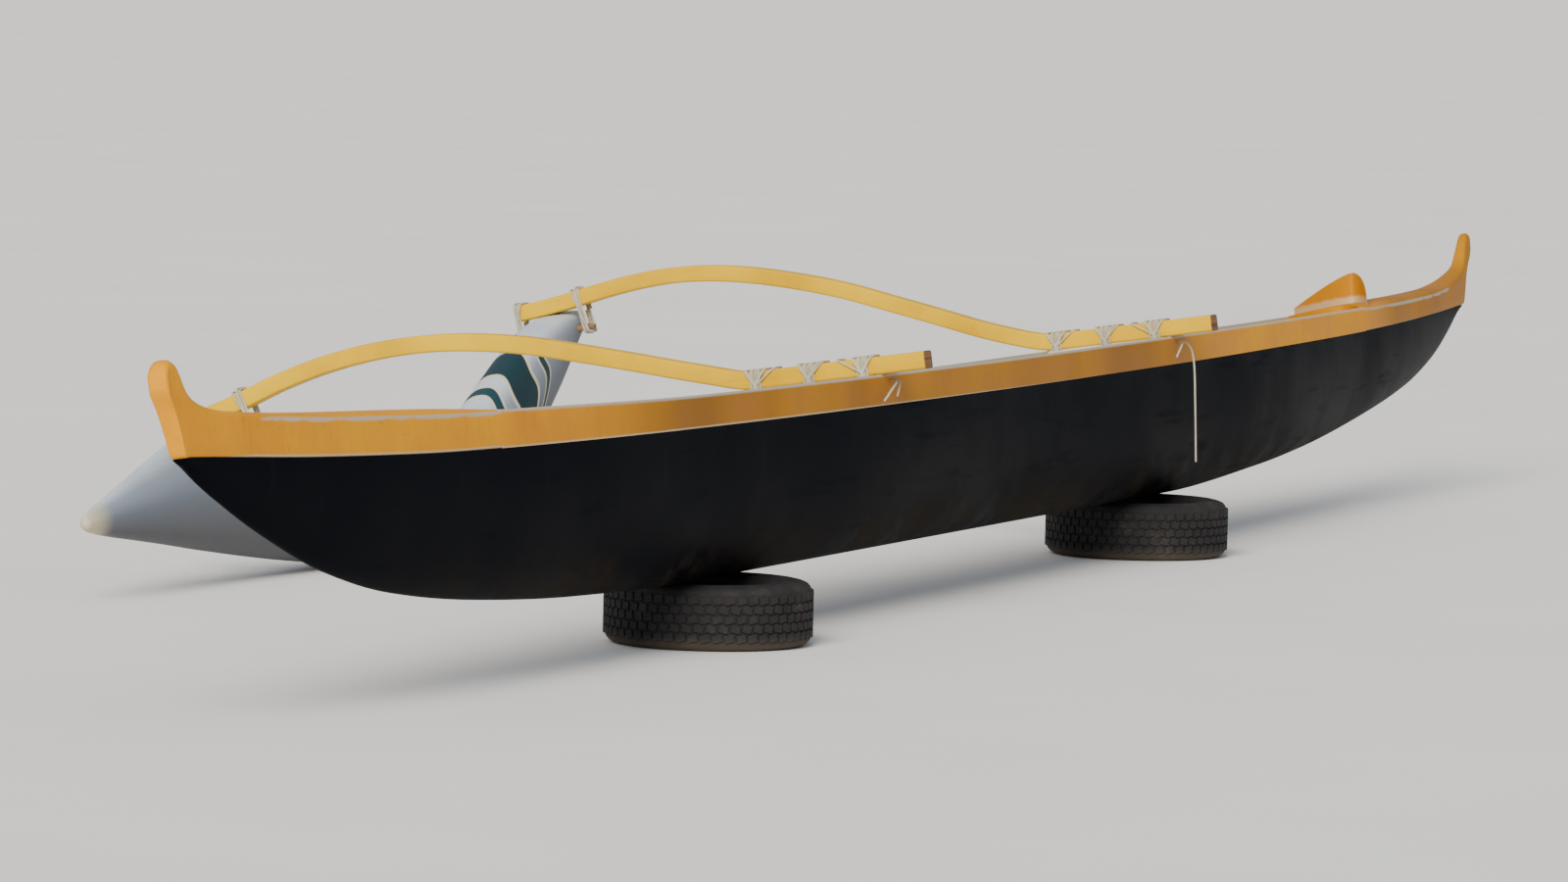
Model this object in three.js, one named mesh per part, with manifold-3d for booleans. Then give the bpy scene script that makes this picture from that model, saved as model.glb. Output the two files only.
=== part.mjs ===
// A six-seat outrigger canoe, laid up ashore: its hull stands on two old tyres, and it leans
// over to port until the belly of its outrigger float, the ama, rests on the ground.
// Millimetres. +X is towards the bow, +Y to port, where the ama is, and +Z up.
// The canoe is drawn upright in a frame of its own, with X = 0 amidships, Y = 0 on the hull's
// centreline and Z = 0 at the keel, and is then leaned over as one group.
import * as THREE from "three";
import { mergeVertices } from "three/addons/utils/BufferGeometryUtils.js";
import Module from "manifold-3d";

const wasm = await Module();
wasm.setup();

// Driving dimensions
const gap = 0.3; // between pieces that touch
const halfBeam = 250; // at the gunwale, amidships
const stemHalf = { stern: 30, bow: 21 }; // half thickness of the hull's two ends
const beamFullness = 2.6; // how far the full beam is carried towards the ends
// Half breadth at the strake's foot, as a share of the gunwale's: it draws in towards the stems
const footShare = { along: 0.965, stem: 0.665, from: 5500, to: 6100 };
const roundness = { middle: 2.5, ends: 1.6 }; // of the bottom: 2 is an ellipse, more is fuller
const tumble = 0.07; // how far the bottom draws in on its way down
const cockpit = { stern: -4250, bow: 4150 }; // between the two decks, at the sides
const mouth = { long: 215, wide: 145, round: 1.7 }; // how far it is rounded into each deck
const shellThick = 14;
const strakeThick = 20;
const bulkheadThick = 14;
const tyre = { radius: 325, height: 200, bead: 190, stern: -2420, bow: 1700 };
const iako = { deep: 58, wide: 70, stern: -1330, bow: 1600, inboard: -400, round: 9 };
const amaY = 2110; // the float's centreline
const seat = { count: 6, first: 2330, pitch: 1130, long: 230, thick: 20, high: 385 };
const rail = { stern: -3620, bow: 2640, deep: 32, thick: 22 };
const guard = { thick: 11, ahead: 90, long: 270, end: 146, tall: 106, least: 10, lean: 62 };
const cordThick = 7;
const lashing = { stations: [-185, 0, 185], wide: 46 };
const saddle = { barDeep: 34, apron: 165, drop: 58, plate: 13 };
const peg = { radius: 13, below: 62, half: 158 };
const amaRing = { offset: 124, wide: 30 };
const cordHole = { below: 24, deep: 12 }; // under the gunwale, and how far a cord's end goes in

// The lashings' loose ends: which beam, how far ahead of it the hole is, and the route from there
const cordEnds = [
  { name: "lashing_tail", end: "bow", ahead: 64, sections: 44, steps: [
    [2, -17, 0], [4, -28, -6], [6, -37, -17], [9, -44, -33], [12, -48, -54], [15, -51, -80],
    [18, -53, -115], [21, -54, -155], [24, -55, -200], [27, -56, -245], [30, -57, -290],
    [32, -58, -335], [34, -59, -380], [36, -60, -425]] },
  { name: "lashing_end_bow", end: "bow", ahead: 46, sections: 12, steps: [
    [-3, -15, -1], [-12, -19, -6], [-26, -19, -18], [-42, -17, -34], [-58, -15, -51]] },
  { name: "lashing_end_stern_long", end: "stern", ahead: 64, sections: 16, steps: [
    [-3, -15, 0], [-14, -20, -3], [-34, -20, -14], [-60, -18, -30], [-88, -17, -46],
    [-112, -16, -58]] },
  { name: "lashing_end_stern_short", end: "stern", ahead: 82, sections: 12, steps: [
    [-1, -15, -1], [-6, -20, -7], [-12, -22, -18], [-20, -22, -33], [-27, -21, -49]] },
];

// Lines of the hull: [x, height above the keel]
const keelLine = curve([
  [-6050, 560], [-5960, 500], [-5830, 436], [-5600, 338], [-5210, 207], [-4810, 124],
  [-4240, 62], [-3500, 19], [-2700, 0], [1950, 0], [3000, 36], [3600, 74],
  [4250, 136], [5000, 232], [5420, 322], [5700, 418], [5850, 488], [5925, 520],
]);
const strakeLine = curve([
  [-6150, 577], [-6050, 572], [-5310, 525], [-4440, 489], [-3000, 466], [-1500, 456], [0, 453],
  [1500, 456], [3000, 466], [4200, 479], [5000, 497], [5925, 528], [6150, 536],
]);
const gunwaleLine = curve([
  [-5300, 640], [-4600, 608], [-3900, 587], [-2800, 564], [-1330, 555], [0, 552],
  [1600, 556], [3000, 562], [4000, 568], [4700, 576], [5100, 584],
]);
// The decked ends, from the cockpit outwards: [x, height of the deck's edge, of its crown,
// and of the underside where the raised tip reaches out past the stem]
const sternDeck = [
  [-4250, 597, 615], [-4600, 608, 627], [-5000, 626, 644], [-5300, 640, 656], [-5550, 656, 668],
  [-5700, 666, 678], [-5830, 677, 689], [-5915, 691, 703], [-5965, 705, 718], [-6003, 722, 736],
  [-6028, 744, 759], [-6044, 770, 785], [-6056, 796, 812, 577], [-6070, 816, 832, 628],
  [-6090, 824, 840, 682], [-6110, 816, 832, 722], [-6122, 802, 818, 742], [-6130, 790, 806, 754],
];
const bowDeck = [
  [4150, 569, 587], [4700, 577, 595], [5100, 585, 602], [5350, 592, 608], [5550, 603, 616],
  [5700, 618, 630], [5800, 632, 644], [5880, 648, 660], [5945, 664, 676, 531],
  [5990, 679, 692, 572], [6022, 697, 711, 612], [6044, 718, 733, 640], [6072, 744, 760, 664],
  [6104, 776, 792, 690], [6132, 796, 811, 714], [6152, 801, 815, 738], [6165, 793, 807, 756],
  [6170, 782, 796, 764],
];

const paint = {
  black: material(0x0b0c12, 0.35),
  strake: material(0xd98d1e, 0.45),
  beam: material(0xe6c41e, 0.4),
  white: material(0xd9d8cf, 0.5),
  cord: material(0xcfc4ad, 0.9),
  rubber: material(0x1c1b1c, 0.9),
};

function material(color, roughness) {
  return new THREE.MeshStandardMaterial({ color, roughness, metalness: 0 });
}

// A smooth height for any x through a short table, by cubic pieces whose slope never overshoots.
function curve(table) {
  const steps = table.slice(1).map(([x, z], i) => (z - table[i][1]) / (x - table[i][0]));
  const slopes = table.map((_, i) => {
    const before = steps[Math.max(i - 1, 0)];
    const after = steps[Math.min(i, steps.length - 1)];
    return before * after <= 0 ? 0 : (2 * before * after) / (before + after);
  });
  return (x) => {
    const last = table.length - 2;
    const found = table.findIndex(([end], i) => i > 0 && x <= end) - 1;
    const i = found < 0 ? (x <= table[0][0] ? 0 : last) : found;
    const [x0, z0] = table[i];
    const [x1, z1] = table[i + 1];
    const t = THREE.MathUtils.clamp((x - x0) / (x1 - x0), 0, 1);
    const run = x1 - x0;
    return (
      z0 * (1 + 2 * t) * (1 - t) ** 2 +
      z1 * t * t * (3 - 2 * t) +
      run * (slopes[i] * t * (1 - t) ** 2 - slopes[i + 1] * t * t * (1 - t))
    );
  };
}

function half(x) {
  const along = Math.min(Math.abs(x) / 6100, 1);
  const stem = x < 0 ? stemHalf.stern : stemHalf.bow;
  return stem + (halfBeam - stem) * (1 - along ** beamFullness);
}

function footHalf(x) {
  const { along, stem, from, to } = footShare;
  const near = THREE.MathUtils.clamp((Math.abs(x) - from) / (to - from), 0, 1);
  return half(x) * THREE.MathUtils.lerp(along, stem, near ** 2);
}

// The skin through closed rings of points, with flat ends: one closed body, facing out.
function skin(rings) {
  const count = rings[0].length;
  const faces = [];
  for (let i = 0; i + 1 < rings.length; i++)
    for (let j = 0; j < count; j++) {
      const [a, b] = [i * count + j, i * count + ((j + 1) % count)];
      const [c, d] = [b + count, a + count];
      faces.push(a, b, d, b, c, d);
    }
  const end = (rings.length - 1) * count;
  for (const [a, b, c] of THREE.ShapeUtils.triangulateShape(flat(rings[0]), []))
    faces.push(a, c, b);
  for (const [a, b, c] of THREE.ShapeUtils.triangulateShape(flat(rings.at(-1)), []))
    faces.push(end + a, end + b, end + c);
  const geometry = new THREE.BufferGeometry().setFromPoints(rings.flat());
  geometry.setIndex(faces);
  const made = solid(geometry);
  if (made.volume() > 0) return made;
  const turned = [];
  for (let i = 0; i < faces.length; i += 3) turned.push(faces[i], faces[i + 2], faces[i + 1]);
  geometry.setIndex(turned);
  return solid(geometry);
}

// A ring of points in space, laid out in its own plane for the triangulation of an end.
function flat(ring) {
  const u = ring[1].clone().sub(ring[0]).normalize();
  const normal = new THREE.Vector3();
  ring.forEach((p, i) => normal.add(p.clone().cross(ring[(i + 1) % ring.length])));
  const v = normal.normalize().clone().cross(u);
  return ring.map((p) => new THREE.Vector2(p.dot(u), p.dot(v)));
}

function solid(geometry) {
  const plain = geometry.clone();
  plain.deleteAttribute("normal");
  plain.deleteAttribute("uv");
  const merged = mergeVertices(plain, 1e-4);
  return new wasm.Manifold(
    new wasm.Mesh({
      numProp: 3,
      vertProperties: merged.attributes.position.array,
      triVerts: new Uint32Array(merged.index.array),
    }),
  );
}

function mesh(name, made, finish) {
  const { vertProperties, numProp, triVerts, numVert } = made.getMesh();
  const points = new Float32Array(numVert * 3);
  for (let i = 0; i < numVert; i++)
    points.set(vertProperties.subarray(i * numProp, i * numProp + 3), i * 3);
  const geometry = new THREE.BufferGeometry()
    .setAttribute("position", new THREE.BufferAttribute(points, 3))
    .setIndex(new THREE.BufferAttribute(new Uint32Array(triVerts), 1));
  geometry.computeVertexNormals();
  const made3d = new THREE.Mesh(geometry, finish);
  made3d.name = name;
  return made3d;
}

function box(x, y, z) {
  const shape = new THREE.BoxGeometry(x[1] - x[0], y[1] - y[0], z[1] - z[0]);
  return solid(shape.translate((x[0] + x[1]) / 2, (y[0] + y[1]) / 2, (z[0] + z[1]) / 2));
}

function rod(radius, y, x, z, sides = 16) {
  const shape = new THREE.CylinderGeometry(radius, radius, y[1] - y[0], sides);
  return solid(shape.translate(0, (y[0] + y[1]) / 2, 0).translate(x, 0, z));
}

// The loft of a section that changes along the hull: section(x) gives its ring as [y, z].
function loft(stations, section) {
  return skin(stations.map((x) => section(x).map(([y, z]) => new THREE.Vector3(x, y, z))));
}

function stations(from, to, count) {
  return Array.from({ length: count }, (_, i) => from + ((to - from) * i) / (count - 1));
}

// Half round of the hull's bottom, from port over the keel to starboard. It is a full U
// amidships and a V at the stems, and it is let in by inset on every side.
function bottom(x, inset) {
  const points = 8;
  const towardsEnd = Math.min(Math.abs(x) / 6000, 1) ** 2;
  const power = 2 / THREE.MathUtils.lerp(roundness.middle, roundness.ends, towardsEnd);
  const wide = footHalf(x) - inset;
  const top = strakeLine(x);
  const deep = top - keelLine(x) - inset;
  return Array.from({ length: 2 * points + 1 }, (_, i) => {
    const turn = (Math.PI * i) / (2 * points);
    const across = Math.sign(Math.cos(turn)) * Math.abs(Math.cos(turn)) ** power;
    const down = Math.sin(turn) ** power;
    return [across * wide * (1 - tumble * down), top - deep * down];
  });
}

function hullShell() {
  const outer = loft(
    [-6040, -5990, -5920, -5830, ...stations(-5700, -4300, 8), ...stations(-4000, 4000, 17),
      ...stations(4250, 5600, 8), 5700, 5780, 5850, 5900],
    (x) => bottom(x, 0),
  );
  return outer.subtract(insideOf(shellThick));
}

// What a wall of a given thickness leaves free inside the hull, up past the strake line.
function insideOf(wall) {
  return loft([-5650, -5400, ...stations(-5100, -4300, 5), ...stations(-4000, 4000, 17),
    ...stations(4250, 5300, 6), 5500], (x) => {
    const lower = bottom(x, wall);
    const top = strakeLine(x) + 4;
    return [[lower.at(-1)[0], top], [lower[0][0], top], ...lower];
  });
}

// The space between the strakes, for pieces that are fitted in from side to side.
function betweenStrakes() {
  const wall = strakeThick + 4 * gap;
  return loft(stations(cockpit.stern + gap, cockpit.bow - gap, 33), (x) => {
    const low = footHalf(x) - wall;
    const high = half(x) - wall;
    return [[-low, strakeLine(x)], [-high, gunwaleLine(x) + 60], [high, gunwaleLine(x) + 60],
      [low, strakeLine(x)]];
  });
}

// One side's strake: the board that stands on the shell and ends in the gunwale.
function strake(side) {
  const board = loft(stations(cockpit.stern + gap, cockpit.bow - gap, 33), (x) => {
    const low = footHalf(x);
    const high = half(x);
    const [foot, top] = [strakeLine(x) + gap, gunwaleLine(x)];
    return [[low, foot], [high, top - 7], [high - 3, top - 1.5], [high - 8, top],
      [high - strakeThick + 6, top], [high - strakeThick + 1, top - 3],
      [high - strakeThick, top - 9], [low - strakeThick, foot],
    ].map(([y, z]) => [side * y, z]);
  });
  if (side > 0) return board;
  let made = board;
  for (const { end, ahead } of cordEnds) {
    const x = iako[end] + ahead;
    const through = [-halfBeam - strakeThick, -halfBeam + 2 * strakeThick];
    made = made.subtract(rod(cordThick / 2 + gap, through, x, gunwaleLine(x) - cordHole.below));
  }
  return made;
}

// Half breadth over the strakes' outer faces, at a depth below the gunwale.
function strakeFace(x, below) {
  const rise = gunwaleLine(x) - 7 - strakeLine(x);
  return half(x) - ((half(x) - footHalf(x)) * (below - 7)) / rise;
}

// A decked end with its raised, rounded tip, before the cockpit's mouth is cut into it.
function deckedEnd(table) {
  const rows = table[0][0] > table.at(-1)[0] ? [...table].reverse() : table;
  return skin(
    rows.map(([x, edge, crown, under]) => {
      const foot = (under ?? strakeLine(x)) + gap;
      const free = under ? Math.min(1, (under - strakeLine(x)) / 170) : 0;
      const high = half(x);
      const low = THREE.MathUtils.lerp(footHalf(x), high, free);
      const tip = Math.min(1, (edge - foot) / 60);
      const arch = [0.97, 0.8, 0.45, 0].map((across, i) => [
        high * across, edge + (crown - edge) * [0.18, 0.55, 0.86, 1][i],
      ]);
      const sideways = [[low * (0.75 + 0.25 * tip), foot], [high, edge - 12 * tip], ...arch];
      const other = sideways.slice(0, -1).reverse().map(([y, z]) => [-y, z]);
      return [...sideways, ...other].map(([y, z]) => new THREE.Vector3(x, y, z));
    }),
  );
}

// How far into a deck the cockpit's mouth reaches at y.
function mouthReach(y) {
  return mouth.long * (1 - Math.min(1, Math.abs(y) / mouth.wide) ** mouth.round);
}

function withMouth(deck, side) {
  const at = side > 0 ? cockpit.bow : cockpit.stern;
  const edge = stations(-mouth.wide, mouth.wide, 15).map((y) => [at + side * mouthReach(y), y]);
  const back = at - side * 50;
  const outline = [[back, -mouth.wide], ...edge, [back, mouth.wide]];
  const heights = [strakeLine(at) - 60, gunwaleLine(at) + 100];
  return deck.subtract(skin(heights.map((z) =>
    outline.map(([x, y]) => new THREE.Vector3(x, y, z)))));
}

// The breakwater round the mouth in the bow deck: two leaves that rise from the deck's edges
// and meet forward in one raised point. They are drawn down into the deck, then cut to it.
function splashGuard() {
  const foot = gunwaleLine(cockpit.bow) - 60;
  const rings = stations(-1, 1, 17).map((s) => {
    const away = Math.abs(s);
    const x = cockpit.bow + guard.ahead + guard.long * (1 - away ** mouth.round);
    const tall = guard.least + guard.tall * (1 - away ** 1.6);
    const top = gunwaleLine(x) + 18 + tall;
    const lean = guard.lean * (1 - away);
    return [[0, foot], [guard.thick, foot], [lean + guard.thick, top - 4],
      [lean + guard.thick / 2, top], [lean, top - 4],
    ].map(([ahead, z]) => new THREE.Vector3(x + ahead, s * guard.end, z));
  });
  const clear = bowDeck.map(([x, edge, crown, under]) => [x, edge + gap, crown + gap, under]);
  return skin(rings).subtract(deckedEnd(clear));
}

function seatBoard(x) {
  const board = box([x - seat.long / 2, x + seat.long / 2], [-halfBeam, halfBeam],
    [seat.high, seat.high + seat.thick]);
  return board.intersect(insideOf(shellThick + gap));
}

// The stringer on one side that the seats rest on.
function seatRail(side) {
  const { stern, bow, deep, thick } = rail;
  const across = side > 0 ? [0, halfBeam] : [-halfBeam, 0];
  return box([stern, bow], across, [seat.high - gap - deep, seat.high - gap])
    .intersect(insideOf(shellThick + gap))
    .subtract(insideOf(shellThick + thick));
}

function bulkhead(x) {
  return box([x, x + bulkheadThick], [-halfBeam, halfBeam], [0, strakeLine(x) - gap])
    .intersect(insideOf(shellThick + gap));
}

// The cross beams' centre lines: [y, z] from over the hull out to the float.
const beamPath = {
  stern: [[330, 612], [455, 646], [625, 694], [795, 740], [968, 784], [1155, 816], [1324, 831],
    [1508, 828], [1697, 804], [1866, 765], [1990, 726], [2090, 696], [2190, 672], [2270, 656]],
  bow: [[330, 614], [455, 656], [625, 724], [795, 791], [968, 858], [1155, 915], [1324, 956],
    [1480, 981], [1640, 990], [1800, 980], [1930, 962], [2040, 944], [2130, 932], [2240, 920]],
};

function seatingHeight(x) {
  return Math.max(...[-35, 0, 35].map((along) => gunwaleLine(x + along))) + gap + iako.deep / 2;
}

function beamLine(end) {
  const z = seatingHeight(iako[end]);
  const bent = new THREE.CatmullRomCurve3(
    [[215, z], [265, z + 10], ...beamPath[end]].map(([y, high]) => new THREE.Vector3(0, y, high)),
  );
  const points = bent.getPoints(34);
  return [new THREE.Vector3(0, iako.inboard, z), new THREE.Vector3(0, -150, z), ...points];
}

// A cross beam, let out by grow on every face.
function crossBeam(end, grow = 0) {
  const line = beamLine(end);
  const [w, d, r] = [iako.wide / 2 + grow, iako.deep / 2 + grow, iako.round];
  const outline = [[w - r, d], [w, d - r], [w, r - d], [w - r, -d], [r - w, -d], [-w, r - d],
    [-w, d - r], [r - w, d]];
  return skin(
    line.map((p, i) => {
      const ahead = line[Math.min(i + 1, line.length - 1)].clone();
      const along = ahead.sub(line[Math.max(i - 1, 0)]).normalize();
      const up = new THREE.Vector3(0, -along.z, along.y);
      const out = along.clone().multiplyScalar(i === 0 ? -grow : i === line.length - 1 ? grow : 0);
      return outline.map(([x, v]) =>
        new THREE.Vector3(iako[end] + x, p.y, p.z).addScaledVector(up, v).add(out));
    }),
  );
}

// Height of a beam's centre line over a given y.
function beamHeight(end, y) {
  const line = beamLine(end);
  const i = Math.max(1, line.findIndex((p) => p.y >= y));
  const [a, b] = [line[i - 1], line[i]];
  return a.z + ((b.z - a.z) * (y - a.y)) / (b.y - a.y);
}

// The spreader that the beam is tied down to: a bar across the hull, with an apron that
// slopes away fore and aft, and slots beside the bar where the cord goes through.
function spreader(end) {
  const x = iako[end];
  const top = seatingHeight(x) - iako.deep / 2 - gap;
  const bar = iako.wide / 2 + 14;
  const { apron, drop, plate, barDeep } = saddle;
  const outline = [[-apron, -drop], [-bar, -2], [-30, 0], [30, 0], [bar, -2], [apron, -drop],
    [apron, -drop - plate], [bar, -2 - plate], [32, -barDeep], [-32, -barDeep], [-bar, -2 - plate],
    [-apron, -drop - plate]];
  const wide = halfBeam + 5;
  let made = skin([-wide, wide].map((y) =>
    outline.map(([along, high]) => new THREE.Vector3(x + along, y, top + high))));
  made = made.intersect(betweenStrakes());
  const slot = lashing.wide / 2 + 2;
  for (const y of lashing.stations)
    for (const side of [-1, 1]) {
      const edges = [side * (iako.wide / 2 - 0.2), side * (iako.wide / 2 + cordThick + 3)];
      const along = edges.map((e) => x + e).sort((a, b) => a - b);
      made = made.subtract(box(along, [y - slot, y + slot], [top - 60, top + 5]));
    }
  return made;
}

// Turns of cord laid side by side: a flat band round what fills its inside.
function band(x, y, z, wide) {
  const t = cordThick;
  const outer = [[x[0] - t, z[0] - t + 3], [x[0] - t + 3, z[0] - t], [x[1] + t - 3, z[0] - t],
    [x[1] + t, z[0] - t + 3], [x[1] + t, z[1] + t - 3], [x[1] + t - 3, z[1] + t],
    [x[0] - t + 3, z[1] + t], [x[0] - t, z[1] + t - 3]];
  const block = skin([y - wide / 2, y + wide / 2].map((at) =>
    outer.map(([px, pz]) => new THREE.Vector3(px, at, pz))));
  return block.subtract(box(x, [y - wide, y + wide], z));
}

function hullLashing(end, y) {
  const centre = seatingHeight(iako[end]);
  const x = [iako[end] - iako.wide / 2 - gap, iako[end] + iako.wide / 2 + gap];
  const low = centre - iako.deep / 2 - gap - saddle.barDeep - gap;
  return band(x, y, [low, centre + iako.deep / 2 + gap], lashing.wide)
    .subtract(crossBeam(end, gap));
}

const pegHeight = (end) => beamHeight(end, amaY) - iako.deep / 2 - peg.below;

function amaPeg(end) {
  return rod(peg.radius, [amaY - peg.half, amaY + peg.half], iako[end], pegHeight(end));
}

function amaLashing(end, side) {
  const y = amaY + side * amaRing.offset;
  const x = [iako[end] - iako.wide / 2 - gap, iako[end] + iako.wide / 2 + gap];
  const low = pegHeight(end) - peg.radius - gap;
  return band(x, y, [low, beamHeight(end, y) + iako.deep / 2 + gap], amaRing.wide)
    .subtract(crossBeam(end, gap));
}

// The float: [x, height of its belly, of its back, half width, roundness of the section]
const amaStations = [
  [-2410, 372, 408, 16, 2.0], [-2380, 360, 424, 26, 2.0], [-2250, 338, 464, 38, 2.0],
  [-2050, 312, 522, 52, 2.0], [-1850, 286, 580, 64, 2.0], [-1650, 258, 630, 74, 2.0],
  [-1480, 236, 662, 81, 2.1], [-1330, 217, 668, 86, 2.1], [-1180, 199, 655, 90, 2.1],
  [-1030, 182, 580, 94, 2.1], [-880, 167, 500, 98, 2.2], [-700, 150, 434, 101, 2.3],
  [-450, 133, 384, 104, 2.4], [-150, 127, 369, 105, 2.5], [150, 145, 396, 105, 2.5],
  [450, 196, 486, 104, 2.5], [750, 282, 606, 103, 2.5], [1000, 380, 716, 101, 2.6],
  [1200, 482, 800, 99, 2.7], [1400, 610, 868, 96, 2.9], [1520, 700, 894, 93, 3.0],
  [1600, 768, 903, 91, 3.1], [1680, 832, 912, 88, 3.2], [1712, 868, 908, 80, 3.2],
];

function ama() {
  const count = 22;
  const rings = amaStations.map(([x, belly, back, wide, fullness]) =>
    Array.from({ length: count }, (_, i) => {
      const turn = (2 * Math.PI * i) / count;
      const part = (v) => Math.sign(v) * Math.abs(v) ** (2 / fullness);
      const pinch = Math.sin(turn) > 0 && x < -1000 ? Math.min(0.45, (-1000 - x) / 700) : 0;
      const narrow = 1 - pinch * Math.max(0, Math.sin(turn)) ** 1.5;
      return new THREE.Vector3(
        x,
        amaY + wide * part(Math.cos(turn)) * narrow,
        (belly + back) / 2 + ((back - belly) / 2) * part(Math.sin(turn)),
      );
    }));
  let made = skin(rings);
  for (const end of ["stern", "bow"])
    made = made.subtract(crossBeam(end, gap)).subtract(
      rod(peg.radius + gap, [amaY - 2 * peg.half, amaY + 2 * peg.half], iako[end], pegHeight(end)));
  return made;
}

// The old tyre: a hollow carcass turned about its own axis, lying flat on the ground.
function tyreCarcass(height) {
  const { radius: R, bead: B } = tyre;
  const H = height;
  const profile = [
    [B, 24], [B + 22, 5], [B + 55, 0], [R - 38, 0], [R - 12, 9], [R, 30], [R, H - 30], [R - 12, H - 9],
    [R - 38, H], [B + 55, H], [B + 22, H - 5], [B, H - 24], [B + 8, H - 34], [B + 40, H - 22],
    [R - 40, H - 20], [R - 18, H - 36], [R - 18, 36], [R - 40, 20], [B + 40, 22], [B + 8, 34], [B, 24],
  ].map(([r, h]) => new THREE.Vector2(r, h));
  const turned = new THREE.LatheGeometry(profile, 40);
  return solid(turned.rotateX(Math.PI / 2));
}

// The loose ends of the two lashings. Each comes out of a hole in the starboard strake, straight
// at first, and then bends down under its own weight. Steps are [x, y, z] in the parked frame.
function cordEnd({ end, ahead, steps, sections }) {
  const x = iako[end] + ahead;
  const face = -strakeFace(x, cordHole.below);
  const straight = [cordHole.deep, cordHole.deep / 2, 0, -cordHole.deep / 2].map((inward) =>
    canoe.localToWorld(new THREE.Vector3(x, face + inward, gunwaleLine(x) - cordHole.below)));
  const mouthOfHole = straight[2];
  const free = steps.map((step) => mouthOfHole.clone().add(new THREE.Vector3(...step)));
  const path = new THREE.CatmullRomCurve3([...straight, ...free]);
  const round = new THREE.Shape().absarc(0, 0, cordThick / 2, 0, 2 * Math.PI);
  const section = new THREE.Shape(round.getPoints(4).slice(0, 8));
  return solid(new THREE.ExtrudeGeometry(section, { steps: sections, extrudePath: path }));
}

const canoe = new THREE.Group();
canoe.add(mesh("hull_shell", hullShell(), paint.black));
canoe.add(mesh("strake_port", strake(1), paint.strake));
canoe.add(mesh("strake_starboard", strake(-1), paint.strake));
canoe.add(mesh("stern_end_piece", withMouth(deckedEnd(sternDeck), -1), paint.strake));
canoe.add(mesh("bow_end_piece", withMouth(deckedEnd(bowDeck), 1), paint.strake));
canoe.add(mesh("splash_guard", splashGuard(), paint.strake));
canoe.add(mesh("bulkhead_stern", bulkhead(cockpit.stern - mouth.long - 20), paint.white));
canoe.add(mesh("bulkhead_bow", bulkhead(cockpit.bow + mouth.long + 10), paint.white));
for (const [name, side] of [["port", 1], ["starboard", -1]])
  canoe.add(mesh(`seat_rail_${name}`, seatRail(side), paint.white));
for (let i = 0; i < seat.count; i++)
  canoe.add(mesh(`seat_${i + 1}`, seatBoard(seat.first - i * seat.pitch), paint.white));
for (const end of ["stern", "bow"]) {
  canoe.add(mesh(`iako_${end}`, crossBeam(end), paint.beam));
  canoe.add(mesh(`spreader_${end}`, spreader(end), paint.white));
  canoe.add(mesh(`ama_peg_${end}`, amaPeg(end), paint.white));
  lashing.stations.forEach((y, i) => {
    const name = ["starboard", "middle", "port"][i];
    canoe.add(mesh(`hull_lashing_${end}_${name}`, hullLashing(end, y), paint.cord));
  });
  for (const [name, side] of [["outboard", 1], ["inboard", -1]])
    canoe.add(mesh(`ama_lashing_${end}_${name}`, amaLashing(end, side), paint.cord));
}
canoe.add(mesh("ama", ama(), paint.white));

// Leaning over: the angle at which the hull sits on the tyres and the ama's belly on the ground.
const leaned = (y, z, lean) => z * Math.cos(lean) - y * Math.sin(lean);

function lowest(name, lean) {
  const points = canoe.getObjectByName(name).geometry.getAttribute("position");
  let least = Infinity;
  for (let i = 0; i < points.count; i++)
    least = Math.min(least, leaned(points.getY(i), points.getZ(i), lean));
  return least;
}

function leanToGround() {
  let [less, more] = [0, THREE.MathUtils.degToRad(20)];
  for (let i = 0; i < 50; i++) {
    const lean = (less + more) / 2;
    const amaOverGround = lowest("ama", lean) - lowest("hull_shell", lean) + tyre.height + gap;
    if (amaOverGround > 0) less = lean;
    else more = lean;
  }
  return (less + more) / 2;
}

const lean = leanToGround();
const group = new THREE.Group();
canoe.rotation.x = -lean;
canoe.position.z = tyre.height + gap - lowest("hull_shell", lean);
group.add(canoe);

for (const end of ["stern", "bow"]) {
  const x = tyre[end];
  const over = stations(x - tyre.radius, x + tyre.radius, 9).flatMap((at) => bottom(at, 0));
  const hullHere = Math.min(...over.map(([y, z]) => leaned(y, z, lean)));
  const height = hullHere + canoe.position.z - gap;
  const carcass = mesh(`tyre_${end}`, tyreCarcass(height), paint.rubber);
  carcass.position.x = x;
  group.add(carcass);
}

// Centre the whole on the floor below its bounding box.
group.updateMatrixWorld(true);
const size = new THREE.Box3().setFromObject(group, true);
const middle = size.getCenter(new THREE.Vector3());
for (const piece of group.children) {
  piece.position.x -= middle.x;
  piece.position.y -= middle.y;
}
group.updateMatrixWorld(true);

for (const cord of cordEnds) group.add(mesh(cord.name, cordEnd(cord), paint.cord));

export default group;
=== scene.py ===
# %% [markdown]
# # A six-seat outrigger canoe, laid up ashore
# A racing canoe of this kind is a long narrow hull with a float, the ama, held out to port by
# two bent beams, the iako, which are lashed on with cord. This one is off the water: its hull
# stands on two old tyres, and it leans over until the belly of the ama is on the ground.
# The solids of every sub-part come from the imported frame. This lesson makes the pieces that
# are seen, each in the place of its solid, and gives them their finishes.

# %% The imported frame
import math

import bmesh
import bpy
from mathutils import Matrix, Quaternion, Vector


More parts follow.
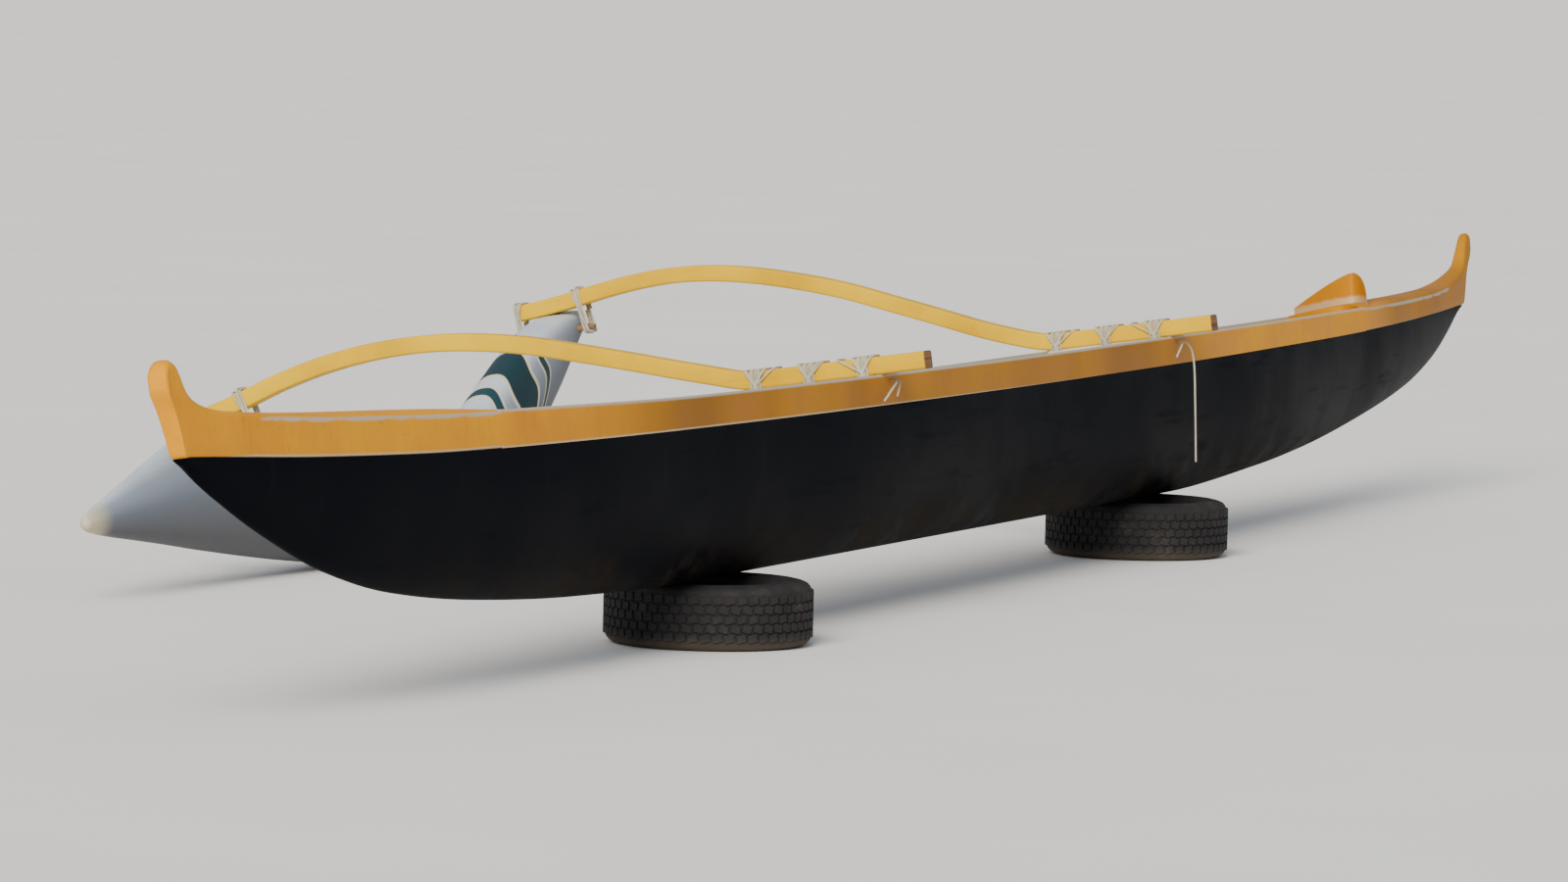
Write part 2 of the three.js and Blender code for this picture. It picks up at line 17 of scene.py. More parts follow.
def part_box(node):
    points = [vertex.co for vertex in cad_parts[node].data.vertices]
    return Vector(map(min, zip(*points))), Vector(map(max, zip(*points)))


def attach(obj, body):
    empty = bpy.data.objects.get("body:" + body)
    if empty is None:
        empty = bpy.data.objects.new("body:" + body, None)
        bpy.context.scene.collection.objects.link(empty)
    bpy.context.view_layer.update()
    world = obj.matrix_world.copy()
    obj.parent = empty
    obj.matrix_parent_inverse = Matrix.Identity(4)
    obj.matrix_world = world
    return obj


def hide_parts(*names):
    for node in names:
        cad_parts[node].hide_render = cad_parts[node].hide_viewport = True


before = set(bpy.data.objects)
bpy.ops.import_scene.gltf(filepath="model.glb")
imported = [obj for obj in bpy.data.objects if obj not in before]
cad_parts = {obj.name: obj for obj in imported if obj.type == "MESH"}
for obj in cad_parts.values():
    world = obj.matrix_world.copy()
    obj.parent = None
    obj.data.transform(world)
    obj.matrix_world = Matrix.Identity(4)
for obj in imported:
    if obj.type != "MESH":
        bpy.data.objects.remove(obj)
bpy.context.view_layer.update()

# %% [markdown]
# ## The canoe's own upright frame
# The hull is easiest to draw upright: X = 0 amidships, Y = 0 on the centreline and Z = 0 at
# the keel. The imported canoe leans, so its own frame has to be found again. A seat is the best
# witness: its top is flat, level across the canoe and at a known height, so the slope of that
# face gives the lean, and the middle of the face gives the place.

# %% Find the canoe's frame from a seat
seat_middle = Vector((0.070, 0, 0.405))  # of the third seat's top, in the canoe's own frame
seat_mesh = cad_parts["seat_3"].data
seat_top = max(seat_mesh.polygons, key=lambda face: face.area * (face.normal.z > 0.9))
lean = math.atan2(seat_top.normal.y, seat_top.normal.z)
upright = Matrix.Rotation(-lean, 4, "X")
turned_back = [upright.inverted() @ point.co for point in seat_mesh.vertices]
low = Vector(min(point[i] for point in turned_back) for i in range(3))
high = Vector(max(point[i] for point in turned_back) for i in range(3))
found_top = Vector(((low.x + high.x) / 2, (low.y + high.y) / 2, high.z))
canoe_origin = upright @ (found_top - seat_middle)
CANOE = Matrix.Translation(canoe_origin) @ upright
print(f"lean {math.degrees(lean):.2f} degrees, keel line starts at", canoe_origin[:])

# %% [markdown]
# ## The camera
# The photograph looks along the hull from behind and a little to starboard, from a little
# over two metres up, through a long lens. The eye's place was worked out from the lines of
# the hull. The canoe is at one side of the photograph, where level lines slope a little. A
# camera aimed at the canoe's middle gives the same slopes with a slight roll.

# %% The camera, at the photograph's viewing angle
eye = CANOE @ Vector((-25.500, -9.350, 0.642))
aim = CANOE @ Vector((0.567, 0.870, 0.359))
roll = math.radians(1.35)
camera = bpy.data.objects.new("camera", bpy.data.cameras.new("camera"))
bpy.context.scene.collection.objects.link(camera)
camera.location = eye
camera.rotation_mode = "QUATERNION"
ahead = (aim - eye).normalized()
camera.rotation_quaternion = ahead.to_track_quat("-Z", "Y") @ Quaternion((0, 0, 1), roll)
camera.data.lens = 185.4
camera.data.clip_end = 1000
bpy.context.scene.camera = camera
print("eye", eye[:])

# %% [markdown]
# ## Lines and measures
# A boat is drawn from a few long lines: the keel, the line where the black bottom meets the
# yellow strake, and the gunwale. Each line here is a short table of [x, height] in metres,
# and a curve that never overshoots runs through it, so every station between can be asked.

# %% Smooth lines through short tables
def smooth_line(table):
    """Height for any x, by cubic pieces whose slopes never overshoot the table."""
    steps = [(b[1] - a[1]) / (b[0] - a[0]) for a, b in zip(table, table[1:])]
    slopes = []
    for i in range(len(table)):
        before, after = steps[max(i - 1, 0)], steps[min(i, len(steps) - 1)]
        slopes.append(0 if before * after <= 0 else 2 * before * after / (before + after))

    def height(x):
        i = next((k for k in range(len(table) - 1) if x <= table[k + 1][0]), len(table) - 2)
        (x0, z0), (x1, z1) = table[i], table[i + 1]
        t = min(max((x - x0) / (x1 - x0), 0), 1)
        bend = slopes[i] * t * (1 - t) ** 2 - slopes[i + 1] * t * t * (1 - t)
        return z0 * (1 + 2 * t) * (1 - t) ** 2 + z1 * t * t * (3 - 2 * t) + (x1 - x0) * bend

    return height


half_beam = 0.250
stem_half = {"stern": 0.030, "bow": 0.021}
stem_at = 6.100  # where the hull is down to the stem's breadth
beam_fullness = 2.6  # how long the hull keeps its full breadth
foot_share = {"along": 0.965, "stem": 0.665, "from": 5.500, "to": 6.100}
edge_round = 0.007  # the gunwale's rounding, down from its top
gap = 0.0003  # between pieces that touch
cockpit = {"stern": -4.250, "bow": 4.150}
keel_line = smooth_line([
    [-6.050, 0.560], [-5.960, 0.500], [-5.830, 0.436], [-5.600, 0.338], [-5.210, 0.207],
    [-4.810, 0.124], [-4.240, 0.062], [-3.500, 0.019], [-2.700, 0.000], [1.950, 0.000],
    [3.000, 0.036], [3.600, 0.074], [4.250, 0.136], [5.000, 0.232], [5.420, 0.322],
    [5.700, 0.418], [5.850, 0.488], [5.925, 0.520],
])
strake_line = smooth_line([
    [-6.150, 0.577], [-6.050, 0.572], [-5.310, 0.525], [-4.440, 0.489], [-3.000, 0.466],
    [-1.500, 0.456], [0.000, 0.453], [1.500, 0.456], [3.000, 0.466], [4.200, 0.479],
    [5.000, 0.497], [5.925, 0.528], [6.150, 0.536],
])
gunwale_line = smooth_line([
    [-5.300, 0.640], [-4.600, 0.608], [-3.900, 0.587], [-2.800, 0.564], [-1.330, 0.555],
    [0.000, 0.552], [1.600, 0.556], [3.000, 0.562], [4.000, 0.568], [4.700, 0.576],
    [5.100, 0.584],
])


def half_breadth(x):
    """Half breadth at the gunwale, or at the deck's edge."""
    along = min(abs(x) / stem_at, 1)
    stem = stem_half["stern" if x < 0 else "bow"]
    return stem + (half_beam - stem) * (1 - along**beam_fullness)


def foot_half(x):
    """Half breadth at the strake's foot: it draws in towards the stems."""
    near = min(max((abs(x) - foot_share["from"]) / (foot_share["to"] - foot_share["from"]), 0), 1)
    share = foot_share["along"] + (foot_share["stem"] - foot_share["along"]) * near**2
    return half_breadth(x) * share


def evenly(start, end, count):
    """Numbers from start to end, both included, in even steps."""
    return [start + (end - start) * i / (count - 1) for i in range(count)]


print("beam amidships", 2 * half_breadth(0), "depth", gunwale_line(0) - keel_line(0))

# %% [markdown]
# ## Node trees, written down
# Both Geometry Nodes and materials are trees of nodes. Two small helpers keep them short
# here: one adds a node with its settings and links, the other adds one step of arithmetic.
# A third prints how many nodes a finished tree has.

# %% Add a node, and add a step of arithmetic
def node(tree, kind, links=None, **settings):
    """Add a node: links fills its sockets, with a value or another node's output."""
    made = tree.nodes.new(kind)
    for name, value in settings.items():
        setattr(made, name, value)
    for socket, value in (links or {}).items():
        if isinstance(value, bpy.types.NodeSocket):
            tree.links.new(value, made.inputs[socket])
        else:
            made.inputs[socket].default_value = value
    return made


def calc(tree, operation, *values):
    """One step of arithmetic on numbers or on other nodes' outputs."""
    made = node(tree, "ShaderNodeMath", dict(enumerate(values)), operation=operation)
    return made.outputs[0]


def say_nodes(made):
    """Print how many nodes a finish or a recipe has."""
    tree = made.node_tree if isinstance(made, bpy.types.Material) else made
    print(f"{made.name}: {len(tree.nodes)} nodes")


# %% [markdown]
# ## The cord's finish
# The lashings are a thin braided cord, once white, gone grey and brown in the weather. It is
# painted darker between the strands, as shade in the grooves, so the pattern has to follow the
# cord. The cord's recipe stores how far along and how far round each point is, and the
# material reads that.

# %% Colours, and a start for every finish
def paint(code):
    """A colour as a painter would read it off a chart, in the renderer's linear light."""
    parts = [int(code[i:i + 2], 16) / 255 for i in (0, 2, 4)]
    return [*(p / 12.92 if p <= 0.04045 else ((p + 0.055) / 1.055) ** 2.4 for p in parts), 1]


def new_finish(name, **even):
    """A material whose even values sit on the shader's own sockets."""
    material = bpy.data.materials.new(name)
    material.use_nodes = True
    shader = material.node_tree.nodes["Principled BSDF"]
    for socket, value in even.items():
        shader.inputs[socket.replace("_", " ")].default_value = value
    return material, material.node_tree, shader


def mix(tree, share, a, b):
    """Blend colour a towards colour b. Either may be a colour code."""
    made = node(tree, "ShaderNodeMix", data_type="RGBA")
    for socket, value in zip((0, 6, 7), (share, a, b)):  # the colour mode's own sockets
        if isinstance(value, bpy.types.NodeSocket):
            tree.links.new(value, made.inputs[socket])
        else:
            made.inputs[socket].default_value = paint(value) if isinstance(value, str) else value
    return made.outputs[2]


# %% Patterns and relief for finishes
def between(tree, value, start, end, low=0.0, high=1.0):
    """Map value from start..end to low..high, held at both ends."""
    made = node(tree, "ShaderNodeMapRange", {
        "Value": value, "From Min": start, "From Max": end, "To Min": low, "To Max": high,
    }, interpolation_type="SMOOTHSTEP")
    return made.outputs["Result"]


def grain(tree, where, scale, detail=4.0, roughness=0.55, stretch=(1, 1, 1)):
    """Noise in metres: scale is how many blotches there are in a metre."""
    spread = node(tree, "ShaderNodeMapping", {"Vector": where, "Scale": stretch})
    made = node(tree, "ShaderNodeTexNoise", {
        "Vector": spread.outputs[0], "Scale": scale, "Detail": detail, "Roughness": roughness,
    })
    return made.outputs["Fac"]


def bumps(tree, shader, height, strength, distance):
    """Fine relief in the shading, for what is too small to be in the mesh."""
    made = node(tree, "ShaderNodeBump", {
        "Height": height, "Strength": strength, "Distance": distance})
    tree.links.new(made.outputs[0], shader.inputs["Normal"])


# %% The cord's finish
strand_turn = 0.006  # of cord, in which a strand goes once round it


def cord_finish():
    material, tree, shader = new_finish("braided_cord", Specular_IOR_Level=0.25,
                                        Sheen_Weight=0.25, Sheen_Roughness=0.5)
    along = node(tree, "ShaderNodeAttribute", attribute_name="along").outputs["Fac"]
    around = node(tree, "ShaderNodeAttribute", attribute_name="around").outputs["Vector"]
    turn = node(tree, "ShaderNodeSeparateXYZ", {0: around}).outputs
    phase = calc(tree, "MULTIPLY", along, 2 * math.pi / strand_turn)
    one = calc(tree, "MULTIPLY", turn[0], calc(tree, "COSINE", phase))
    other = calc(tree, "MULTIPLY", turn[1], calc(tree, "SINE", phase))
    strands = calc(tree, "MULTIPLY_ADD", calc(tree, "SUBTRACT", one, other), 0.5, 0.5)
    places = node(tree, "ShaderNodeTexCoord").outputs["Object"]
    weathered = grain(tree, places, 9.0)
    colour = mix(tree, weathered, "e2dcca", "a89c82")
    # Painted shade: darker in the grooves between the strands
    groove_shade = between(tree, strands, 0.0, 0.6)
    colour = mix(tree, groove_shade, mix(tree, 0.5, colour, "5c5342"), colour)
    tree.links.new(colour, shader.inputs["Base Color"])
    tree.links.new(between(tree, weathered, 0.3, 0.7, 0.75, 0.95), shader.inputs["Roughness"])
    bumps(tree, shader, strands, 0.7, 0.0008)
    return material


braided_cord = cord_finish()
say_nodes(braided_cord)

# %% [markdown]
# ## Recipes
# What repeats or follows a path is made by a Geometry Nodes tree, called a recipe here. Its
# inputs are named for the sizes that differ from piece to piece, and it ends in real geometry
# with its material set. It could stay live on its piece. Here each result is turned into a
# plain mesh at once, because the next steps cut, join and measure meshes.

# %% Begin a recipe, end it, and grow a piece by it
def new_recipe(name, inputs):
    """An empty Geometry Nodes tree with named inputs, and the node that hands them out."""
    tree = bpy.data.node_groups.new(name, "GeometryNodeTree")
    tree.interface.new_socket("Geometry", in_out="OUTPUT", socket_type="NodeSocketGeometry")
    for label, kind in {"Geometry": "Geometry", **inputs, "Material": "Material"}.items():
        tree.interface.new_socket(label, in_out="INPUT", socket_type=f"NodeSocket{kind}")
    return tree, tree.nodes.new("NodeGroupInput").outputs


def end_recipe(tree, given, geometry):
    """Every tree ends in real geometry with its material set."""
    real = node(tree, "GeometryNodeRealizeInstances", {"Geometry": geometry})
    covered = node(tree, "GeometryNodeSetMaterial",
                   {"Geometry": real.outputs[0], "Material": given["Material"]})
    node(tree, "NodeGroupOutput", {"Geometry": covered.outputs[0]})


def as_plain_mesh(piece):
    """Swap a piece's live modifiers for the mesh that they make."""
    seen = piece.evaluated_get(bpy.context.evaluated_depsgraph_get())
    mesh = bpy.data.meshes.new_from_object(seen)
    piece.modifiers.clear()
    before = piece.data
    piece.data = mesh
    bpy.data.meshes.remove(before)
    return piece


def grow(name, recipe, values, start=None):
    """Make a piece by a recipe, from a starting mesh if the recipe needs one."""
    piece = bpy.data.objects.new(name, start or bpy.data.meshes.new(name))
    bpy.context.scene.collection.objects.link(piece)
    modifier = piece.modifiers.new(recipe.name, "NODES")
    modifier.node_group = recipe
    for item in recipe.interface.items_tree:
        if item.in_out == "INPUT" and item.name in values:
            modifier[item.identifier] = values[item.name]
    return as_plain_mesh(piece)


# %% [markdown]
# ## The loose cord ends
# Where a lashing is finished off, its end comes out through a small hole in the starboard
# strake and hangs down the side. Four ends are free: a long one below the forward beam and
# three short ones. Each starts inside its hole, runs straight out, and bends down under its
# own weight. A cord is a path with a round section, which is what Curve to Mesh makes.

# %% The recipe that lays a cord along a path
cord_thick = 0.007


def cord_skin(tree, path, radius, sides=10, step=0.0025):
    """Nodes that skin a path as cord, and note how far along and round each point is."""
    fine = node(tree, "GeometryNodeResampleCurve", {"Curve": path, "Length": step}, mode="LENGTH")
    lengths = node(tree, "GeometryNodeSplineParameter").outputs["Length"]
    path_marked = node(tree, "GeometryNodeStoreNamedAttribute", {
        "Geometry": fine.outputs[0], "Name": "along", "Value": lengths,
    }, data_type="FLOAT", domain="POINT")
    ring = node(tree, "GeometryNodeCurvePrimitiveCircle", {"Resolution": sides, "Radius": radius})
    factor = node(tree, "GeometryNodeSplineParameter").outputs["Factor"]
    angle = calc(tree, "MULTIPLY", factor, 2 * math.pi)
    place = node(tree, "ShaderNodeCombineXYZ", {
        0: calc(tree, "COSINE", angle), 1: calc(tree, "SINE", angle)})
    ring_marked = node(tree, "GeometryNodeStoreNamedAttribute", {
        "Geometry": ring.outputs[0], "Name": "around", "Value": place.outputs[0],
    }, data_type="FLOAT_VECTOR", domain="POINT")
    skinned = node(tree, "GeometryNodeCurveToMesh", {
        "Curve": path_marked.outputs[0], "Profile Curve": ring_marked.outputs[0],
        "Fill Caps": True})
    smooth = node(tree, "GeometryNodeSetShadeSmooth", {"Geometry": skinned.outputs[0]})
    return smooth.outputs[0]


def cord_recipe():
    tree, given = new_recipe("cord_along_path", {"Radius": "Float"})
    path = node(tree, "GeometryNodeMeshToCurve", {"Mesh": given["Geometry"]})
    end_recipe(tree, given, cord_skin(tree, path.outputs[0], given["Radius"]))
    return tree


laid_cord = cord_recipe()
say_nodes(laid_cord)

# %% Where the loose ends come out, and the route that each takes
iako = {"deep": 0.058, "wide": 0.070, "stern": -1.330, "bow": 1.600, "inboard": -0.400,
        "round": 0.009}
strake_thick = 0.020
cord_hole = {"below": 0.024, "deep": 0.012, "radius": 0.0038, "drill": 0.08}
# Which beam, how far ahead of it the hole is, and the route from there, in the parked frame
cord_ends = {
    "lashing_tail": ("bow", 0.064, [
        [0.002, -0.017, 0], [0.004, -0.028, -0.006], [0.006, -0.037, -0.017],
        [0.009, -0.044, -0.033], [0.012, -0.048, -0.054], [0.015, -0.051, -0.080],
        [0.018, -0.053, -0.115], [0.021, -0.054, -0.155], [0.024, -0.055, -0.200],
        [0.027, -0.056, -0.245], [0.030, -0.057, -0.290], [0.032, -0.058, -0.335],
        [0.034, -0.059, -0.380], [0.036, -0.060, -0.425]]),
    "lashing_end_bow": ("bow", 0.046, [
        [-0.003, -0.015, -0.001], [-0.012, -0.019, -0.006], [-0.026, -0.019, -0.018],
        [-0.042, -0.017, -0.034], [-0.058, -0.015, -0.051]]),
    "lashing_end_stern_long": ("stern", 0.064, [
        [-0.003, -0.015, 0], [-0.014, -0.020, -0.003], [-0.034, -0.020, -0.014],
        [-0.060, -0.018, -0.030], [-0.088, -0.017, -0.046], [-0.112, -0.016, -0.058]]),
    "lashing_end_stern_short": ("stern", 0.082, [
        [-0.001, -0.015, -0.001], [-0.006, -0.020, -0.007], [-0.012, -0.022, -0.018],
        [-0.020, -0.022, -0.033], [-0.027, -0.021, -0.049]]),
}


def strake_face(x, below):
    """Half breadth over the strakes' outer faces, at a depth below the gunwale."""
    rise = gunwale_line(x) - edge_round - strake_line(x)
    return half_breadth(x) - (half_breadth(x) - foot_half(x)) * (below - edge_round) / rise


def hole_mouth(end, lead, inward=0.0):
    """A point on the axis of a cord's hole in the starboard strake, in the canoe's frame."""
    x = iako[end] + lead
    face = -strake_face(x, cord_hole["below"])
    return Vector((x, face + inward, gunwale_line(x) - cord_hole["below"]))


def cord_route(end, lead, steps):
    """From inside the hole straight out through it, and on along the steps."""
    deep = cord_hole["deep"]
    straight = [CANOE @ hole_mouth(end, lead, inward) for inward in (deep, deep / 2, 0, -deep / 2)]
    return straight + [straight[2] + Vector(step) for step in steps]


# %% Smooth paths through a few points
def smooth_path(points, count):
    """A curve through all the points, evenly shared out, whose speed suits their spacing."""
    points = [Vector(p) for p in points]
    padded = [2 * points[0] - points[1], *points, 2 * points[-1] - points[-2]]
    made = []
    for i in range(count):
        place = i / (count - 1) * (len(points) - 1)
        k = min(int(place), len(points) - 2)
        t = place - k
        p0, p1, p2, p3 = padded[k:k + 4]
        d0, d1, d2 = [max((b - a).length ** 0.5, 1e-4) for a, b in ((p0, p1), (p1, p2), (p2, p3))]
        m1 = ((p1 - p0) / d0 - (p2 - p0) / (d0 + d1) + (p2 - p1) / d1) * d1
        m2 = ((p2 - p1) / d1 - (p3 - p1) / (d1 + d2) + (p3 - p2) / d2) * d1
        made.append(p1 * (1 - 3 * t**2 + 2 * t**3) + m1 * (t - 2 * t**2 + t**3)
                    + p2 * (3 * t**2 - 2 * t**3) + m2 * (t**3 - t**2))
    return made


def line_mesh(name, points):
    """A chain of edges, for a recipe to turn into a curve."""
    mesh = bpy.data.meshes.new(name)
    mesh.from_pydata(points, [(i, i + 1) for i in range(len(points) - 1)], [])
    return mesh


def path_length(points):
    return sum((b - a).length for a, b in zip(points, points[1:]))


# %% Lay the four loose ends
for name, (end, lead, steps) in cord_ends.items():
    corners = cord_route(end, lead, steps)
    route = smooth_path(corners, 8 * (len(corners) - 1) + 1)
    loose_end = grow(name + "_cord", laid_cord,
                     {"Radius": cord_thick / 2, "Material": braided_cord}, line_mesh(name, route))
    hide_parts(name)
    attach(loose_end, "root")
    print(f"{name}: {path_length(route):.3f} m, {len(loose_end.data.polygons)} faces")

# %% [markdown]
# ## Skins through stations
# A boatbuilder draws sections at stations along the hull and fairs a skin through them. Mesh
# code can do just that: each station is a ring of points, and neighbouring rings are joined
# by quads. It is exact, quick and gives clean faces, so the hull, the strakes, the decks and
# the ama are made this way. Rings are given in the canoe's own frame and then leaned over.

# %% Fair a skin through rings
crisp = 35  # degrees: an edge that turns more than this is shaded as a sharp one


def fair_skin(name, rings, keep_angle=crisp):
    """One closed body through closed rings of points, facing out, with its ends filled."""
    count = len(rings[0])
    points = [CANOE @ Vector(p) for ring in rings for p in ring]
    faces = [list(range(count)), list(range(len(points) - count, len(points)))]
    for i in range(len(rings) - 1):
        for j in range(count):
            a, b = i * count + j, i * count + (j + 1) % count
            faces.append([a, b, b + count, a + count])
    mesh = bpy.data.meshes.new(name)
    mesh.from_pydata(points, [], faces)
    shape = bmesh.new()
    shape.from_mesh(mesh)
    bmesh.ops.remove_doubles(shape, verts=shape.verts, dist=1e-5)
    bmesh.ops.dissolve_degenerate(shape, edges=shape.edges, dist=1e-6)
    bmesh.ops.recalc_face_normals(shape, faces=shape.faces)
    shape.to_mesh(mesh)
    shape.free()
    mesh.shade_smooth()
    mesh.set_sharp_from_angle(angle=math.radians(keep_angle))
    piece = bpy.data.objects.new(name, mesh)
    bpy.context.scene.collection.objects.link(piece)
    return piece


# %% Finish a piece, and note a measure on its vertices
def finished(piece, material, solid):
    """Give a piece its finish and its place on the body, and hide the solid that it stands for."""
    piece.data.materials.clear()
    piece.data.materials.append(material)
    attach(piece, "root")
    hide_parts(solid)
    print(f"{piece.name}: {len(piece.data.polygons)} faces")


def note_on(piece, name, measure):
    """Store a number on every vertex, worked out from its place in the canoe's own frame."""
    back = CANOE.inverted()
    kept = piece.data.attributes.new(name, "FLOAT", "POINT")
    kept.data.foreach_set("value", [measure(back @ v.co) for v in piece.data.vertices])


# %% [markdown]
# ## Black gelcoat
# The bottom is moulded glass fibre with a black gelcoat. New, it shines like a piano. After
# years of use it is dull in patches, finely scratched along the hull, dusty, and brown with
# dirt near the keel. The scratches are noise stretched along the canoe. The inside is bare
# pale resin, gone grey, with mildew and some dirt along its lowest line. A number stored on
# each vertex says which of the two skins it belongs to.

# %% Colour ramps, and places in the canoe's own frame
def ramp(tree, value, *stops):
    """A colour ramp: stops are (position, colour code)."""
    made = node(tree, "ShaderNodeValToRGB", {"Fac": value})
    bar = made.color_ramp.elements
    while len(bar) < len(stops):
        bar.new(0.5)
    for stop, (position, code) in zip(bar, stops):
        stop.position = position
        stop.color = paint(code)
    return made.outputs["Color"]


def canoe_places(tree):
    """Places on the surface in the canoe's own frame: a pattern then follows the canoe."""
    here = node(tree, "ShaderNodeTexCoord").outputs["Object"]
    back = node(tree, "ShaderNodeMapping", {
        "Vector": here, "Location": canoe_origin, "Rotation": (-lean, 0, 0),
    }, vector_type="TEXTURE")
    return back.outputs[0]


# %% The bottom's finish
def gelcoat_finish():
    material, tree, shader = new_finish("black_gelcoat", Specular_IOR_Level=0.02)
    places = canoe_places(tree)
    height = node(tree, "ShaderNodeSeparateXYZ", {0: places}).outputs[2]
    clouds = grain(tree, places, 1.4, 6)
    scuffs = grain(tree, places, 16, 5, 0.65, (0.12, 1, 1))
    runs = grain(tree, places, 22, 4, 0.6, (1, 1, 0.08))
    colour = ramp(tree, clouds, (0.25, "020309"), (0.55, "04060d"), (0.8, "090b14"))
    colour = mix(tree, between(tree, scuffs, 0.56, 0.78, 0, 0.35), colour, "171a24")
    colour = mix(tree, between(tree, runs, 0.58, 0.8, 0, 0.25), colour, "191b25")
    dirt = calc(tree, "MULTIPLY", between(tree, height, 0.02, 0.20, 1, 0),
                between(tree, grain(tree, places, 5, 6, 0.7), 0.35, 0.7))
    colour = mix(tree, calc(tree, "MULTIPLY", dirt, 0.5), colour, "3d3428")
    resin = ramp(tree, grain(tree, places, 3.5, 6),
                 (0.25, "8f8a78"), (0.55, "b2ad9c"), (0.8, "c8c4b6"))
    spots = node(tree, "ShaderNodeTexVoronoi", {"Vector": places, "Scale": 60.0})
    mildew = calc(tree, "MULTIPLY", between(tree, spots.outputs["Distance"], 0.10, 0.30, 1, 0),
                  between(tree, grain(tree, places, 4, 3), 0.48, 0.64))
    resin = mix(tree, calc(tree, "MULTIPLY", mildew, 0.6), resin, "4c4a3c")
    drift = calc(tree, "MULTIPLY", between(tree, height, 0.03, 0.09, 1, 0),
                 between(tree, grain(tree, places, 6, 5), 0.40, 0.55))
    resin = mix(tree, drift, resin, "8a7350")
    within = node(tree, "ShaderNodeAttribute", attribute_name="inner_skin").outputs["Fac"]
    colour = mix(tree, between(tree, within, 0.4, 0.6), colour, resin)
    tree.links.new(colour, shader.inputs["Base Color"])
    dull = calc(tree, "ADD", between(tree, clouds, 0.3, 0.7, 0.42, 0.56),
                calc(tree, "MULTIPLY", dirt, 0.3))
    tree.links.new(calc(tree, "ADD", dull, between(tree, scuffs, 0.55, 0.8, 0, 0.2)),
                   shader.inputs["Roughness"])
    bumps(tree, shader, grain(tree, places, 6, 3), 0.12, 0.004)
    return material


black_gelcoat = gelcoat_finish()
say_nodes(black_gelcoat)

# %% [markdown]
# ## The hull's bottom
# Amidships the bottom is a full U, and it sharpens to a V at the two stems. One rule gives
# every section: a superellipse, whose power goes from full to sharp along the hull. Outer
# and inner skin are one ring here, so the shell comes out hollow and closed at once.

# %% The section of the bottom
shell_thick = 0.014
roundness = {"middle": 2.5, "ends": 1.6, "ends_at": 6.0}
tumble = 0.07  # how much narrower the section is at the keel's level
hollow = {"stern": -5.650, "bow": 5.500}
shell_end = {"stern": -6.040, "bow": 5.900}
inner_limit = 0.95  # the section's rule gives 1 on the outer skin, and less inside it


def section_power(x):
    """The superellipse's power: full amidships, sharp at the stems."""
    towards_end = min(abs(x) / roundness["ends_at"], 1) ** 2
    return roundness["middle"] + (roundness["ends"] - roundness["middle"]) * towards_end


def bottom(x, inset=0.0, steps=40):
    """The section from port over the keel to starboard, let in by inset."""
    power = 2 / section_power(x)
    wide = foot_half(x) - inset
    top = strake_line(x)
    deep = top - keel_line(x) - inset
    ring = []
    for i in range(steps + 1):
        turn = math.pi * i / steps
        across = math.copysign(abs(math.cos(turn)) ** power, math.cos(turn))
        down = math.sin(turn) ** power if 0 < i < steps else 0
        ring.append((x, across * wide * (1 - tumble * down), top - deep * down))
    return ring


# %% The shell, outside and inside
def on_inner_skin(p):
    """1 for a point of the inner skin: the section's own rule, solved for the point."""
    power, top = section_power(p.x), strake_line(p.x)
    down = max(0, (top - p.z) / (top - keel_line(p.x)))
    out = abs(p.y) / (foot_half(p.x) * (1 - tumble * down))
    inside = out**power + down**power < inner_limit
    return float(inside and hollow["stern"] < p.x < hollow["bow"])


def shell_ring(x, open_inside):
    """Outer and inner skin as one ring, or the outer skin closed straight across."""
    outer = bottom(x)
    if open_inside:
        return outer + bottom(x, shell_thick)[::-1]
    a, b = Vector(outer[-1]), Vector(outer[0])
    return outer + [a.lerp(b, (i + 1) / (len(outer) + 1)) for i in range(len(outer))]


shell_rings = (
    [shell_ring(x, False) for x in evenly(shell_end["stern"], hollow["stern"], 16)]
    + [shell_ring(x, True) for x in evenly(hollow["stern"], hollow["bow"], 190)]
    + [shell_ring(x, False) for x in evenly(hollow["bow"], shell_end["bow"], 16)]
)
shell = fair_skin("hull_bottom", shell_rings)
note_on(shell, "inner_skin", on_inner_skin)
finished(shell, black_gelcoat, "hull_shell")
